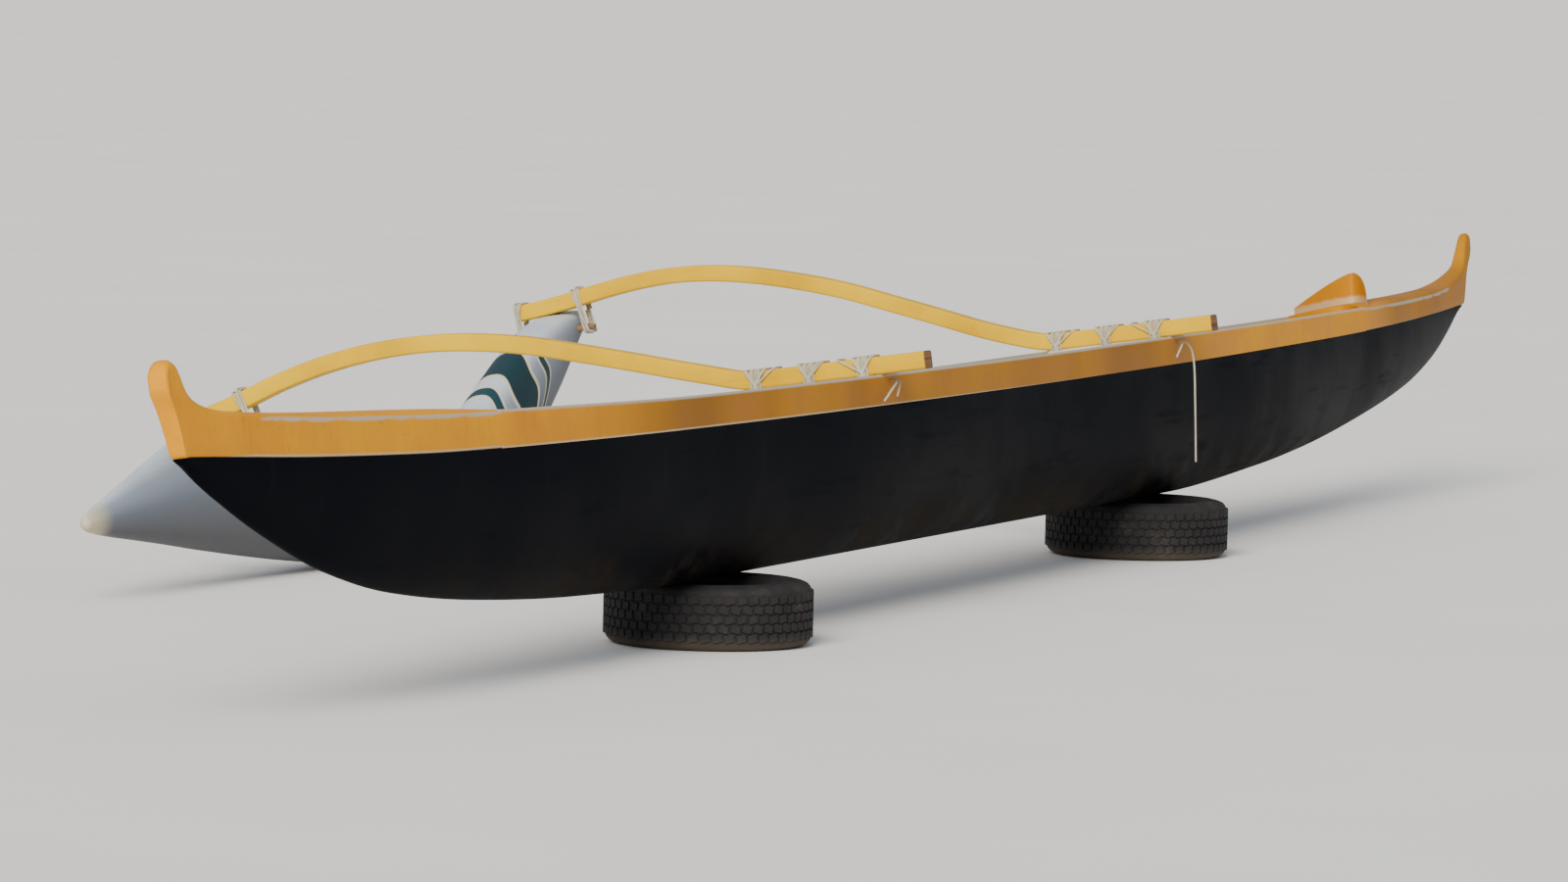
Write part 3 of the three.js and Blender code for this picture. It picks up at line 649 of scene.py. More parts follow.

# %% [markdown]
# ## Yellow gelcoat
# The strakes and decks are a warm orange yellow. Dirt has run down from the gunwale. Long brown
# stretches amidships and towards the bow are painted shadow, as cast by trees. A pale grey line
# along the top edge is a painted highlight, and a thin pale line of sealant shows along the foot
# of the after half. Two numbers stored on each vertex, its depth below the edge and its height
# above the foot, tell the material where those lines are, however the gunwale curves.

# %% The yellow strake's finish
def strake_finish():
    material, tree, shader = new_finish("strake_yellow", Specular_IOR_Level=0.14)
    places = canoe_places(tree)
    along = node(tree, "ShaderNodeSeparateXYZ", {0: places}).outputs[0]
    below = node(tree, "ShaderNodeAttribute", attribute_name="below_edge").outputs["Fac"]
    above = node(tree, "ShaderNodeAttribute", attribute_name="above_foot").outputs["Fac"]
    stretches = grain(tree, places, 0.8, 3, 0.5, (1, 0.2, 0.2))
    clouds = grain(tree, places, 3.2, 6)
    fine = grain(tree, places, 45, 4, 0.6)
    runs = grain(tree, places, 26, 4, 0.6, (1, 1, 0.06))
    colour = ramp(tree, clouds, (0.25, "cf8200"), (0.5, "e09500"), (0.78, "eba400"))
    # Painted shadow: brown stretches amidships and towards the bow, as cast by trees, broken up by
    # the long noise
    amidships = calc(tree, "MULTIPLY", between(tree, along, -3.9, -2.8),
                     between(tree, along, 1.2, 2.4, 1, 0))
    painted_tree_shadow = calc(tree, "MAXIMUM", amidships, between(tree, along, 4.0, 4.9))
    painted_tree_shadow = calc(tree, "MULTIPLY", painted_tree_shadow, between(tree, stretches, 0.38, 0.60, 0.45, 0.8))
    colour = mix(tree, painted_tree_shadow, colour, "7d4f10")
    colour = mix(tree, between(tree, runs, 0.56, 0.80, 0, 0.28), colour, "8a5810")
    colour = mix(tree, between(tree, fine, 0.58, 0.78, 0, 0.25), colour, "6b4310")
    # Both lines are a few millimetres wide, and the fine noise makes their limits waver
    # The pale grey line along the top edge is a painted highlight, where the rounded edge faces
    # the sky
    painted_edge_highlight = between(tree, calc(tree, "MULTIPLY_ADD", fine, 0.003, below), 0.007, 0.013, 1, 0)
    colour = mix(tree, calc(tree, "MULTIPLY", painted_edge_highlight, 0.85), colour, "b7b2a4")
    sealed = between(tree, calc(tree, "MULTIPLY_ADD", fine, 0.003, above), 0.005, 0.008, 1, 0)
    colour = mix(tree, calc(tree, "MULTIPLY", sealed, 0.7), colour, "c9bf9f")
    tree.links.new(colour, shader.inputs["Base Color"])
    rough = calc(tree, "ADD", between(tree, clouds, 0.3, 0.7, 0.46, 0.6),
                 calc(tree, "MULTIPLY", painted_edge_highlight, 0.3))
    tree.links.new(rough, shader.inputs["Roughness"])
    bumps(tree, shader, fine, 0.12, 0.001)
    return material


strake_yellow = strake_finish()
say_nodes(strake_yellow)

# %% [markdown]
# ## The strakes
# On each side a board stands on the bottom and ends in the gunwale. Its section is a slim
# leaning board with two round upper corners, easy on the hands. The starboard one has the
# four small holes that the loose ends of cord come out of.

# %% The section of a strake
def arc(middle, radius, start, end, steps=5):
    """Points on an arc in a section's plane, from one angle in degrees to another."""
    turns = [math.radians(a) for a in evenly(start, end, steps)]
    return [(middle[0] + radius * math.cos(t), middle[1] + radius * math.sin(t)) for t in turns]


gunwale_ease = 0.0065  # radius of the two upper corners


def strake_ring(x, side):
    """One section, from the foot up the outer face, over the top and down the inner face."""
    low_out, high_out = foot_half(x), half_breadth(x)
    foot, top = strake_line(x) + gap, gunwale_line(x)
    ease = gunwale_ease
    faces = [(low_out + (high_out - low_out) * t, foot + (top - edge_round - foot) * t)
             for t in (0, 0.25, 0.5, 0.75)]
    outline = (faces
               + arc((high_out - ease, top - ease), ease, 5, 90)
               + arc((high_out - strake_thick + ease, top - ease), ease, 90, 175)
               + [(y - strake_thick, z) for y, z in reversed(faces)])
    return [(x, side * y, z) for y, z in outline]


# %% Drill a hole, and cut shapes away
def round_cutter(at, direction, radius, length, sides=24):
    """A drill: a round bar in the canoe's frame, centred on a point."""
    shape = bmesh.new()
    bmesh.ops.create_cone(shape, cap_ends=True, segments=sides, radius1=radius, radius2=radius,
                          depth=length)
    mesh = bpy.data.meshes.new("drill")
    shape.to_mesh(mesh)
    shape.free()
    turn = Vector(direction).to_track_quat("Z", "Y").to_matrix().to_4x4()
    mesh.transform(CANOE @ Matrix.Translation(at) @ turn)
    drill = bpy.data.objects.new("drill", mesh)
    bpy.context.scene.collection.objects.link(drill)
    return drill


def cut_away(piece, cutters):
    """Take the cutters' volume out of the piece, and throw the cutters away."""
    for cutter in cutters:
        modifier = piece.modifiers.new("cut", "BOOLEAN")
        modifier.operation = "DIFFERENCE"
        modifier.solver = "EXACT"
        modifier.object = cutter
    as_plain_mesh(piece)
    for cutter in cutters:
        bpy.data.objects.remove(cutter)
    piece.data.set_sharp_from_angle(angle=math.radians(crisp))
    return piece


# %% The two strakes
def sealant_gone(x):
    """What the sealant's line has lost of its height: it thins forward and at the posts."""
    forward = min(max((x + 2) / 3, 0), 1)
    return 0.005 * forward + 0.04 * max(abs(x) - 5.7, 0)


for name, side in (("port", 1), ("starboard", -1)):
    stations = evenly(cockpit["stern"] + gap, cockpit["bow"] - gap, 150)
    board = fair_skin(f"strake_board_{name}", [strake_ring(x, side) for x in stations])
    if side < 0:
        cut_away(board, [
            round_cutter(hole_mouth(end, lead), (0, 1, 0), cord_hole["radius"], cord_hole["drill"])
            for end, lead, _ in cord_ends.values()])
    note_on(board, "below_edge", lambda p: gunwale_line(p.x) - p.z)
    note_on(board, "above_foot", lambda p: p.z - strake_line(p.x) + sealant_gone(p.x))
    finished(board, strake_yellow, f"strake_{name}")

# %% [markdown]
# ## The decked ends
# Fore and aft the hull is decked over, and each deck sweeps up into a rounded raised tip,
# the manu. Four lines describe it: the deck's edge, its crown, the foot where it meets the
# bottom, and the underside where the tip reaches out past the stem. The deck is cambered,
# and the cockpit runs into it in a rounded mouth.

# %% The tables and measures of the two ends
stern_deck = [  # x, height of the deck's edge, of its crown, of the free underside
    [-4.250, 0.597, 0.606], [-4.600, 0.608, 0.627], [-5.000, 0.626, 0.644],
    [-5.300, 0.640, 0.656], [-5.550, 0.656, 0.668], [-5.700, 0.666, 0.678],
    [-5.830, 0.677, 0.689], [-5.915, 0.691, 0.703], [-5.965, 0.705, 0.718],
    [-6.003, 0.722, 0.736], [-6.028, 0.744, 0.759], [-6.044, 0.770, 0.785],
    [-6.056, 0.796, 0.812, 0.577], [-6.070, 0.815, 0.831, 0.628], [-6.090, 0.823, 0.8386, 0.682],
    [-6.110, 0.815, 0.831, 0.722], [-6.122, 0.802, 0.818, 0.742], [-6.130, 0.790, 0.806, 0.754],
]
bow_deck = [
    [4.150, 0.569, 0.578], [4.700, 0.577, 0.595], [5.100, 0.585, 0.602], [5.350, 0.592, 0.608],
    [5.550, 0.603, 0.616], [5.700, 0.618, 0.630], [5.800, 0.632, 0.644], [5.880, 0.648, 0.660],
    [5.945, 0.664, 0.676, 0.531], [5.990, 0.679, 0.692, 0.572], [6.022, 0.697, 0.711, 0.612],
    [6.044, 0.718, 0.733, 0.640], [6.072, 0.744, 0.760, 0.664], [6.104, 0.776, 0.792, 0.690],
    [6.132, 0.796, 0.811, 0.714], [6.152, 0.801, 0.815, 0.738], [6.165, 0.793, 0.807, 0.756],
    [6.170, 0.782, 0.796, 0.764],
]
mouth = {"long": 0.215, "wide": 0.145, "round": 1.7}
deck_power = 2.6  # of the camber's superellipse
deck_drop = 0.012  # from the height of the deck's edge down to where the camber starts
foot_ease = 0.006  # radius of the corner at the foot
slight_below = 0.060  # a section that is lower than this has a narrower foot
free_over = 0.170  # rise of the underside over which the foot comes out to the full breadth
tip_soft = 0.010  # length over which a tip is rounded off
for name, table in (("stern", stern_deck), ("bow", bow_deck)):
    print(name, "crown rises from", table[0][2], "to", max(row[2] for row in table))

# %% The lines and the section of a decked end
class DeckedEnd:
    """The lines of one decked end, and the heights that other pieces ask of it."""

    def __init__(self, table):
        rows = sorted(table)
        self.stations = [row[0] for row in rows]
        self.edge = smooth_line([[row[0], row[1]] for row in rows])
        self.crown = smooth_line([[row[0], row[2]] for row in rows])
        self.foot = smooth_line([
            [row[0], row[3] if len(row) > 3 else strake_line(row[0])] for row in rows])

    def side(self, x):
        """The top of the upright side, and how tall the piece is there, from 0 to 1."""
        tall = min(1, (self.edge(x) - self.foot(x)) / slight_below)
        return self.edge(x) - deck_drop * tall, tall

    def from_edge(self, p):
        """How far a point is from the deck's edge, down the side or in over the deck."""
        start, _ = self.side(p.x)
        highlight_held_back = 0.015 * min(max((abs(p.x) - 5.60) / 0.20, 0), 1)  # the painted highlight stays off the posts
        if p.z < start:
            return start + edge_round - p.z + highlight_held_back
        return math.hypot(p.z - start, half_breadth(p.x) - abs(p.y)) + 0.002 + highlight_held_back

    def height(self, x, y):
        """The deck's surface over a point."""
        start, _ = self.side(x)
        across = min(abs(y) / half_breadth(x), 1)
        return start + (self.crown(x) - start) * (1 - across**deck_power) ** (1 / deck_power)

    def ring(self, x, inset=0.0):
        """The section at x, let in by inset: foot, sides, and the camber over the top."""
        start, tall = self.side(x)
        foot = self.foot(x) + gap + inset
        wide = half_breadth(x) - inset
        free = min(max((self.foot(x) - strake_line(x)) / free_over, 0), 1)
        low = foot_half(x) + (half_breadth(x) - foot_half(x)) * free
        low_out = max(low * (0.75 + 0.25 * tall) - inset, 0.004)
        ease = min(foot_ease, low_out / 2)
        side = [(max(low_out - ease - 0.003, 0.001), foot)]  # keeps the aft face flat
        side += arc((low_out - ease, foot + ease), ease, 270, 352, 4)
        rise = [(side[-1][0] + (wide - side[-1][0]) * t, side[-1][1] + (start - side[-1][1]) * t)
                for t in (0.33, 0.66)]
        crown_rise = self.crown(x) - inset - start
        camber = [(wide, start)]
        for i in range(1, 12):
            turn = math.pi / 2 * i / 12
            camber.append((wide * math.cos(turn) ** (2 / deck_power),
                           start + crown_rise * math.sin(turn) ** (2 / deck_power)))
        camber.append((0, start + crown_rise))
        half = side + rise + camber
        return [(x, y, z) for y, z in half] + [(x, -y, z) for y, z in reversed(half[:-1])]


# %% A decked end through its sections
def decked_end(name, table, outward):
    """One decked end, with more rings where the stations are far apart."""
    deck = DeckedEnd(table)
    stations = []
    for a, b in zip(deck.stations, deck.stations[1:]):
        pieces = 6 if b - a > 0.1 else 4
        stations += evenly(a, b, pieces + 1)[:-1]
    stations.append(deck.stations[-1])
    if outward < 0:
        stations.reverse()
    tip = stations[-1]
    rings = [deck.ring(x) for x in stations if abs(x) < abs(tip) - tip_soft]
    for i in range(6):
        t = math.sin(math.pi / 2 * i / 5)
        x = tip - outward * tip_soft * (1 - t)
        rings.append(deck.ring(x, tip_soft * (1 - math.sqrt(1 - t * t)) * 0.9))
    return deck, fair_skin(name, rings)


# %% The cockpit's mouths, and the two decked ends
def mouth_reach(y):
    """How far into a deck the cockpit's mouth reaches at y."""
    return mouth["long"] * (1 - min(1, abs(y) / mouth["wide"]) ** mouth["round"])


def mouth_cutter(start, outward):
    """The mouth's outline as a block that reaches well past the deck on every side."""
    wide = mouth["wide"]
    edge = [(start + outward * mouth_reach(y), y) for y in evenly(-wide, wide, 49)]
    back = start - outward * 0.050
    outline = [(back, -wide), *edge, (back, wide)]
    heights = (strake_line(start) - 0.060, gunwale_line(start) + 0.100)
    return fair_skin("mouth", [[(x, y, z) for x, y in outline] for z in heights])


decks = {}
for end, table, outward in (("stern", stern_deck, -1), ("bow", bow_deck, 1)):
    deck, piece = decked_end(f"{end}_manu", table, outward)
    decks[end] = deck
    cut_away(piece, [mouth_cutter(cockpit[end], outward)])
    note_on(piece, "below_edge", deck.from_edge)
    # The rounded corner hides half of its own height at the foot, so the line starts above that
    hidden = foot_ease / 2
    note_on(piece, "above_foot", lambda p: p.z - deck.foot(p.x) - hidden + sealant_gone(p.x))
    finished(piece, strake_yellow, f"{end}_end_piece")

# %% [markdown]
# ## The splash guard
# Waves that run up the bow deck are turned aside by a low breakwater round the cockpit's
# forward mouth. Its two leaves rise from the deck's edges and meet in one raised point. It is
# a leaf of even thickness with a rounded top, so it is also a skin through rings.

# %% The splash guard
guard = {"thick": 0.011, "ahead": 0.090, "long": 0.270, "end": 0.146, "tall": 0.106,
         "over": 0.018, "least": 0.010, "lean": 0.062, "sunk": 0.006, "root": 0.060}


def guard_ring(s):
    """The leaf's section at s, from -1 at its starboard end over the point to 1 at port."""
    away = abs(s)
    x = cockpit["bow"] + guard["ahead"] + guard["long"] * (1 - away ** mouth["round"])
    top = gunwale_line(x) + guard["over"] + guard["least"] + guard["tall"] * (1 - away**1.6)
    y = s * guard["end"]
    foot = decks["bow"].height(x, y) - guard["sunk"]
    level, root = gunwale_line(cockpit["bow"]), guard["root"]
    slant = guard["lean"] * (1 - away)
    start = slant * (foot - level + root) / (top - 0.004 - level + root)
    radius = guard["thick"] / 2
    crest = arc((slant + radius, top - radius), radius, 0, 180, 9)
    outline = [(start, foot), (start + guard["thick"], foot), *crest]
    return [(x + lead, y, z) for lead, z in outline]


leaves = fair_skin("splash_guard_leaves", [guard_ring(s) for s in evenly(-1, 1, 81)], 50)
note_on(leaves, "below_edge", lambda p: 0.05)  # far enough down to have no painted highlight anywhere
# Its pale line at the foot is five times as high as the strakes' one
note_on(leaves, "above_foot", lambda p: (p.z - decks["bow"].height(p.x, p.y)) / 5)
finished(leaves, strake_yellow, "splash_guard")

# %% [markdown]
# ## The cross beams
# Each iako is one bent length of laminated wood, painted bright yellow: level over the hull,
# then up in a long arch and down to the ama. A rounded rectangle carried along a bent line is
# the shape's whole rule, so Geometry Nodes can make it: the line comes in as a mesh, and
# Curve to Mesh carries the section along it.

# %% The recipe for a bent beam
def beam_recipe():
    tree, given = new_recipe("bent_beam", {"Width": "Float", "Depth": "Float", "Corner": "Float"})
    line = node(tree, "GeometryNodeMeshToCurve", {"Mesh": given["Geometry"]})
    fine = node(tree, "GeometryNodeResampleCurve",
                {"Curve": line.outputs[0], "Length": 0.015}, mode="LENGTH")
    held = node(tree, "GeometryNodeSetCurveNormal", {"Curve": fine.outputs[0]}, mode="Z_UP")
    section = node(tree, "GeometryNodeCurvePrimitiveQuadrilateral",
                   {"Width": given["Width"], "Height": given["Depth"]})
    eased = node(tree, "GeometryNodeFilletCurve", {
        "Curve": section.outputs[0], "Count": 6, "Radius": given["Corner"]}, mode="POLY")
    skinned = node(tree, "GeometryNodeCurveToMesh", {
        "Curve": held.outputs[0], "Profile Curve": eased.outputs[0], "Fill Caps": True})
    end_recipe(tree, given, skinned.outputs[0])
    return tree


bent_beam = beam_recipe()
say_nodes(bent_beam)

# %% The beams' centre lines
beam_path = {  # y, z from over the hull out to the float
    "stern": [[0.330, 0.612], [0.455, 0.646], [0.625, 0.694], [0.795, 0.740], [0.968, 0.784],
              [1.155, 0.816], [1.324, 0.831], [1.508, 0.828], [1.697, 0.804], [1.866, 0.765],
              [1.990, 0.726], [2.090, 0.696], [2.190, 0.672], [2.270, 0.656]],
    "bow": [[0.330, 0.614], [0.455, 0.656], [0.625, 0.724], [0.795, 0.791], [0.968, 0.858],
            [1.155, 0.915], [1.324, 0.956], [1.480, 0.981], [1.640, 0.990], [1.800, 0.980],
            [1.930, 0.962], [2.040, 0.944], [2.130, 0.932], [2.240, 0.920]],
}


def seating_height(x):
    """Height of a beam's centre line where it rests over the gunwales."""
    half = iako["wide"] / 2
    return max(gunwale_line(x + lead) for lead in (-half, 0, half)) + gap + iako["deep"] / 2


def beam_line(end, count=140):
    """Straight and level over the hull, then bent through the table's points."""
    x, z = iako[end], seating_height(iako[end])
    bent = [(x, 0.215, z), (x, 0.265, z + 0.010), *((x, y, high) for y, high in beam_path[end])]
    return [Vector((x, iako["inboard"], z)), Vector((x, -0.150, z)), *smooth_path(bent, count)]


beam_lines = {end: beam_line(end) for end in ("stern", "bow")}
for end, line in beam_lines.items():
    print(end, f"beam: {path_length(line):.3f} m long, its arch {max(p.z for p in line):.3f} m up")


def beam_height(end, y):
    """Height and slope of a beam's centre line over a given y."""
    line = beam_lines[end]
    i = next((k for k in range(1, len(line)) if line[k].y >= y), len(line) - 1)
    a, b = line[i - 1], line[i]
    slope = (b.z - a.z) / (b.y - a.y)
    return a.z + slope * (y - a.y), slope


# %% [markdown]
# The beams' paint is a bright lemon yellow. On top it has weathered to a paler, chalky tone,
# and at the sawn inboard ends the brown wood and its layers show. The beam runs across the
# canoe, so the layers are thin bands of height, and the wear looks at which way is up.

# %% The beams' finish
def beam_finish():
    material, tree, shader = new_finish("iako_yellow", Specular_IOR_Level=0.12)
    places = canoe_places(tree)
    along = node(tree, "ShaderNodeSeparateXYZ", {0: places}).outputs[1]
    face = node(tree, "ShaderNodeNewGeometry").outputs["Normal"]
    up = node(tree, "ShaderNodeSeparateXYZ", {0: face}).outputs[2]
    clouds = grain(tree, places, 3.0, 6)
    fibres = grain(tree, places, 60, 4, 0.6, (1, 0.05, 1))
    chips = grain(tree, places, 24, 6, 0.7, (1, 0.3, 1))
    colour = ramp(tree, clouds, (0.25, "cb9a00"), (0.5, "dfb000"), (0.8, "ecbf00"))
    colour = mix(tree, between(tree, fibres, 0.55, 0.8, 0, 0.3), colour, "b88c08")
    chalky = calc(tree, "MULTIPLY", between(tree, up, 0.75, 0.97),
                  between(tree, chips, 0.42, 0.68, 0.0, 0.45))
    colour = mix(tree, chalky, colour, "d9c860")
    end = between(tree, along, iako["inboard"] + 0.0005, iako["inboard"] + 0.006, 1, 0)
    layers = grain(tree, places, 30, 2, 0.5, (0.05, 0.05, 6))
    colour = mix(tree, end, colour, ramp(tree, layers, (0.35, "4a2f18"), (0.65, "8a6136")))
    tree.links.new(colour, shader.inputs["Base Color"])
    tree.links.new(calc(tree, "ADD", calc(tree, "MULTIPLY", chalky, 0.4),
                        between(tree, clouds, 0.3, 0.7, 0.38, 0.5)), shader.inputs["Roughness"])
    bumps(tree, shader, fibres, 0.2, 0.0008)
    return material


iako_yellow = beam_finish()
say_nodes(iako_yellow)

# %% Ease the edges of a piece
def bevelled(piece, width, segments=3, from_angle=40):
    """Ease every edge that is sharper than an angle, as a hand would with sandpaper."""
    shape = bmesh.new()
    shape.from_mesh(piece.data)
    limit = math.radians(from_angle)
    sharp = [e for e in shape.edges if e.is_manifold and e.calc_face_angle() > limit]
    bmesh.ops.bevel(shape, geom=sharp, offset=width, segments=segments, profile=0.5,
                    affect="EDGES", clamp_overlap=True)
    shape.to_mesh(piece.data)
    shape.free()
    piece.data.shade_smooth()
    piece.data.set_sharp_from_angle(angle=math.radians(crisp))
    return piece


# %% The two beams
for end in ("stern", "bow"):
    line = line_mesh("beam_line", [CANOE @ p for p in beam_lines[end]])
    beam = grow(f"iako_beam_{end}", bent_beam, {
        "Width": iako["wide"], "Depth": iako["deep"], "Corner": iako["round"],
        "Material": iako_yellow}, line)
    bevelled(beam, 0.004, 3, 60)
    finished(beam, iako_yellow, f"iako_{end}")

# %% [markdown]
# ## White parts inside
# The seats, their rails, the bulkheads and the spreaders are white gelcoat. It has yellowed,
# with grey water marks and spots of mildew, which a cell texture gives well.

# %% The white gelcoat's finish
def white_finish():
    material, tree, shader = new_finish("white_gelcoat", Specular_IOR_Level=0.4)
    places = canoe_places(tree)
    clouds = grain(tree, places, 3.5, 6)
    colour = ramp(tree, clouds, (0.25, "bdb7a3"), (0.5, "d5d1c4"), (0.8, "e4e2da"))
    spots = node(tree, "ShaderNodeTexVoronoi", {"Vector": places, "Scale": 70.0})
    few = calc(tree, "MULTIPLY", between(tree, spots.outputs["Distance"], 0.10, 0.28, 1, 0),
               between(tree, grain(tree, places, 5, 3), 0.52, 0.66))
    colour = mix(tree, calc(tree, "MULTIPLY", few, 0.55), colour, "55523f")
    streaks = grain(tree, places, 18, 4, 0.6, (1, 1, 0.1))
    colour = mix(tree, between(tree, streaks, 0.55, 0.8, 0, 0.35), colour, "8f8468")
    tree.links.new(colour, shader.inputs["Base Color"])
    tree.links.new(between(tree, clouds, 0.3, 0.7, 0.42, 0.62), shader.inputs["Roughness"])
    bumps(tree, shader, grain(tree, places, 60, 3), 0.12, 0.0006)
    return material


white_gelcoat = white_finish()
say_nodes(white_gelcoat)

# %% [markdown]
# ## Boards and bulkheads
# Seats, rails and bulkheads are flat boards cut to the hull. Their solids already have the
# right outline, so each piece is a copy of its solid, with the loose triangles merged to real
# faces and every edge eased.

# %% Copies of flat solids, with eased edges
def eased_copy(node_name, width):
    """A copy of a solid with its flat faces made whole and its edges rounded by width."""
    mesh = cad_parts[node_name].data.copy()
    shape = bmesh.new()
    shape.from_mesh(mesh)
    bmesh.ops.remove_doubles(shape, verts=shape.verts, dist=2e-5)
    bmesh.ops.dissolve_limit(shape, angle_limit=math.radians(1), verts=shape.verts,
                             edges=shape.edges)
    shape.to_mesh(mesh)
    shape.free()
    piece = bpy.data.objects.new(f"{node_name}_eased", mesh)
    bpy.context.scene.collection.objects.link(piece)
    return bevelled(piece, width)


for name in ("bulkhead_stern", "bulkhead_bow", "seat_rail_port", "seat_rail_starboard"):
    finished(eased_copy(name, 0.003), white_gelcoat, name)
for i in range(6):
    finished(eased_copy(f"seat_{i + 1}", 0.006), white_gelcoat, f"seat_{i + 1}")

# %% [markdown]
# ## The spreaders
# Under each beam lies a spreader, a bar across the hull with an apron that slopes away fore
# and aft. Beside the bar are slots for the lashings. It is one outline carried across the
# hull, with the slots cut out.

# %% The section of a spreader
saddle = {"bar_deep": 0.034, "apron": 0.165, "drop": 0.058, "plate": 0.013, "beside": 0.014,
          "step": 0.002, "slot": 0.017}
apron_slope = [(0.25, 0.20), (0.5, 0.45), (0.75, 0.72)]  # share of the way out, of the drop
lashing = {"stations": (-0.185, 0, 0.185), "wide": 0.046}


def spreader_ring(end, y):
    """The outline seen from the side: over the apron and the bar, and back underneath."""
    x = iako[end]
    top = seating_height(x) - iako["deep"] / 2 - gap
    bar, deep, step = iako["wide"] / 2 + saddle["beside"], saddle["bar_deep"], saddle["step"]
    apron, drop, plate = saddle["apron"], saddle["drop"], saddle["plate"]
    upper = [(-apron, -drop)]
    upper += [(-apron + (apron - bar) * (1 - a), -drop * b - step)
              for a, b in reversed(apron_slope)]
    upper += [(-bar, -step), (-0.030, 0), (0.030, 0), (bar, -step)]
    upper += [(bar + (apron - bar) * a, -drop * b - step) for a, b in apron_slope]
    upper += [(apron, -drop)]
    lower = [(apron, -drop - plate), (bar, -step - plate), (0.032, -deep), (-0.032, -deep),
             (-bar, -step - plate), (-apron, -drop - plate)]
    return [(x + lead, y, top + high) for lead, high in upper + lower]


# %% The two spreaders
def block(x, y, z):
    """A plain cutter between two places on each axis, in the canoe's frame."""
    ring = [(y[0], z[0]), (y[1], z[0]), (y[1], z[1]), (y[0], z[1])]
    return fair_skin("block", [[(at, a, b) for a, b in ring] for at in x])


def spreader(end):
    """The board from strake to strake, with a slot on both sides of the bar at each lashing."""
    x = iako[end]
    reach = (strake_face(x, 0.05) + foot_half(x)) / 2 - strake_thick - 0.003
    board = fair_skin(f"spreader_board_{end}", [spreader_ring(end, y) for y in (-reach, reach)])
    top = seating_height(x) - iako["deep"] / 2
    half = iako["wide"] / 2
    slot = lashing["wide"] / 2 + 0.002
    cutters = []
    for y in lashing["stations"]:
        for side in (-1, 1):
            # From a hair under the beam's edge, outwards
            ends = sorted((x + side * (half - 0.0002), x + side * (half + saddle["slot"])))
            cutters.append(block(ends, (y - slot, y + slot), (top - 0.07, top + 0.02)))
    return bevelled(cut_away(board, cutters), 0.002, 2)


for end in ("stern", "bow"):
    finished(spreader(end), white_gelcoat, f"spreader_{end}")

# %% [markdown]
# ## The lashings
# Cord is wound round beam and spreader again and again, side by side, and then across itself
# in an X to draw the turns tight. Some turns fan out over the beam and show as diagonals. One
# rule makes all of it: a point runs round a rounded rectangle while it moves along the beam.
# A lean gives the crossing turns, a fan spreads their tops alone, and a slow waver keeps the
# turns from looking machine-made. Geometry Nodes winds the path and skins it as cord.

# %% The recipe for a winding
waver_pace = 0.37  # wavers in one turn: not a simple share, so no two turns are alike
settled_at = 0.030  # sideways travel at which a crossing turn has come down on the wood


def winding_recipe():
    tree, given = new_recipe("winding", {
        "Turns": "Float", "Steps": "Int", "Half width": "Float", "Half height": "Float",
        "Squareness": "Float", "Spread": "Float", "Skew": "Float", "Fan": "Float",
        "Waver": "Float", "Settle": "Float", "Radius": "Float"})
    points = node(tree, "GeometryNodeMeshLine", {"Count": given["Steps"]})
    index = node(tree, "GeometryNodeInputIndex").outputs[0]
    share = calc(tree, "DIVIDE", index, calc(tree, "SUBTRACT", given["Steps"], 1.0))
    turn = calc(tree, "MULTIPLY", calc(tree, "MULTIPLY", share, given["Turns"]), 2 * math.pi)
    power = calc(tree, "DIVIDE", 2.0, given["Squareness"])

    def rounded(wave):
        """The wave's side of a superellipse, which is a rounded rectangle."""
        size = calc(tree, "POWER", calc(tree, "ABSOLUTE", wave), power)
        return calc(tree, "MULTIPLY", size, calc(tree, "SIGN", wave))

    out, rise = rounded(calc(tree, "COSINE", turn)), rounded(calc(tree, "SINE", turn))
    travel = calc(tree, "MULTIPLY", calc(tree, "SUBTRACT", share, 0.5), given["Spread"])
    leaning = calc(tree, "MULTIPLY", rise, given["Skew"])
    fanned = calc(tree, "MULTIPLY", calc(tree, "MAXIMUM", rise, 0.0), given["Fan"])
    slow = calc(tree, "SINE", calc(tree, "MULTIPLY", turn, waver_pace))
    wavering = calc(tree, "MULTIPLY", calc(tree, "MULTIPLY", slow, rise), given["Waver"])
    sideways = calc(tree, "ADD", calc(tree, "ADD", leaning, fanned), wavering)
    # A crossing turn that has left the turns below it comes down on the wood
    off_side = calc(tree, "DIVIDE", calc(tree, "ABSOLUTE", sideways), settled_at)
    come_in = calc(tree, "MULTIPLY", calc(tree, "MINIMUM", off_side, 1.0), given["Settle"])
    place = node(tree, "ShaderNodeCombineXYZ", {
        0: calc(tree, "MULTIPLY", out, calc(tree, "SUBTRACT", given["Half width"], come_in)),
        1: calc(tree, "ADD", travel, sideways),
        2: calc(tree, "MULTIPLY", rise, calc(tree, "SUBTRACT", given["Half height"], come_in))})
    moved = node(tree, "GeometryNodeSetPosition",
                 {"Geometry": points.outputs[0], "Position": place.outputs[0]})
    path = node(tree, "GeometryNodeMeshToCurve", {"Mesh": moved.outputs[0]})
    end_recipe(tree, given, cord_skin(tree, path.outputs[0], given["Radius"], 8, 0.004))
    return tree


winding = winding_recipe()
say_nodes(winding)

# %% One winding, and several joined as one piece
winding_way = {"steps in a turn": 56, "squareness": 7.0, "waver": 0.0015}


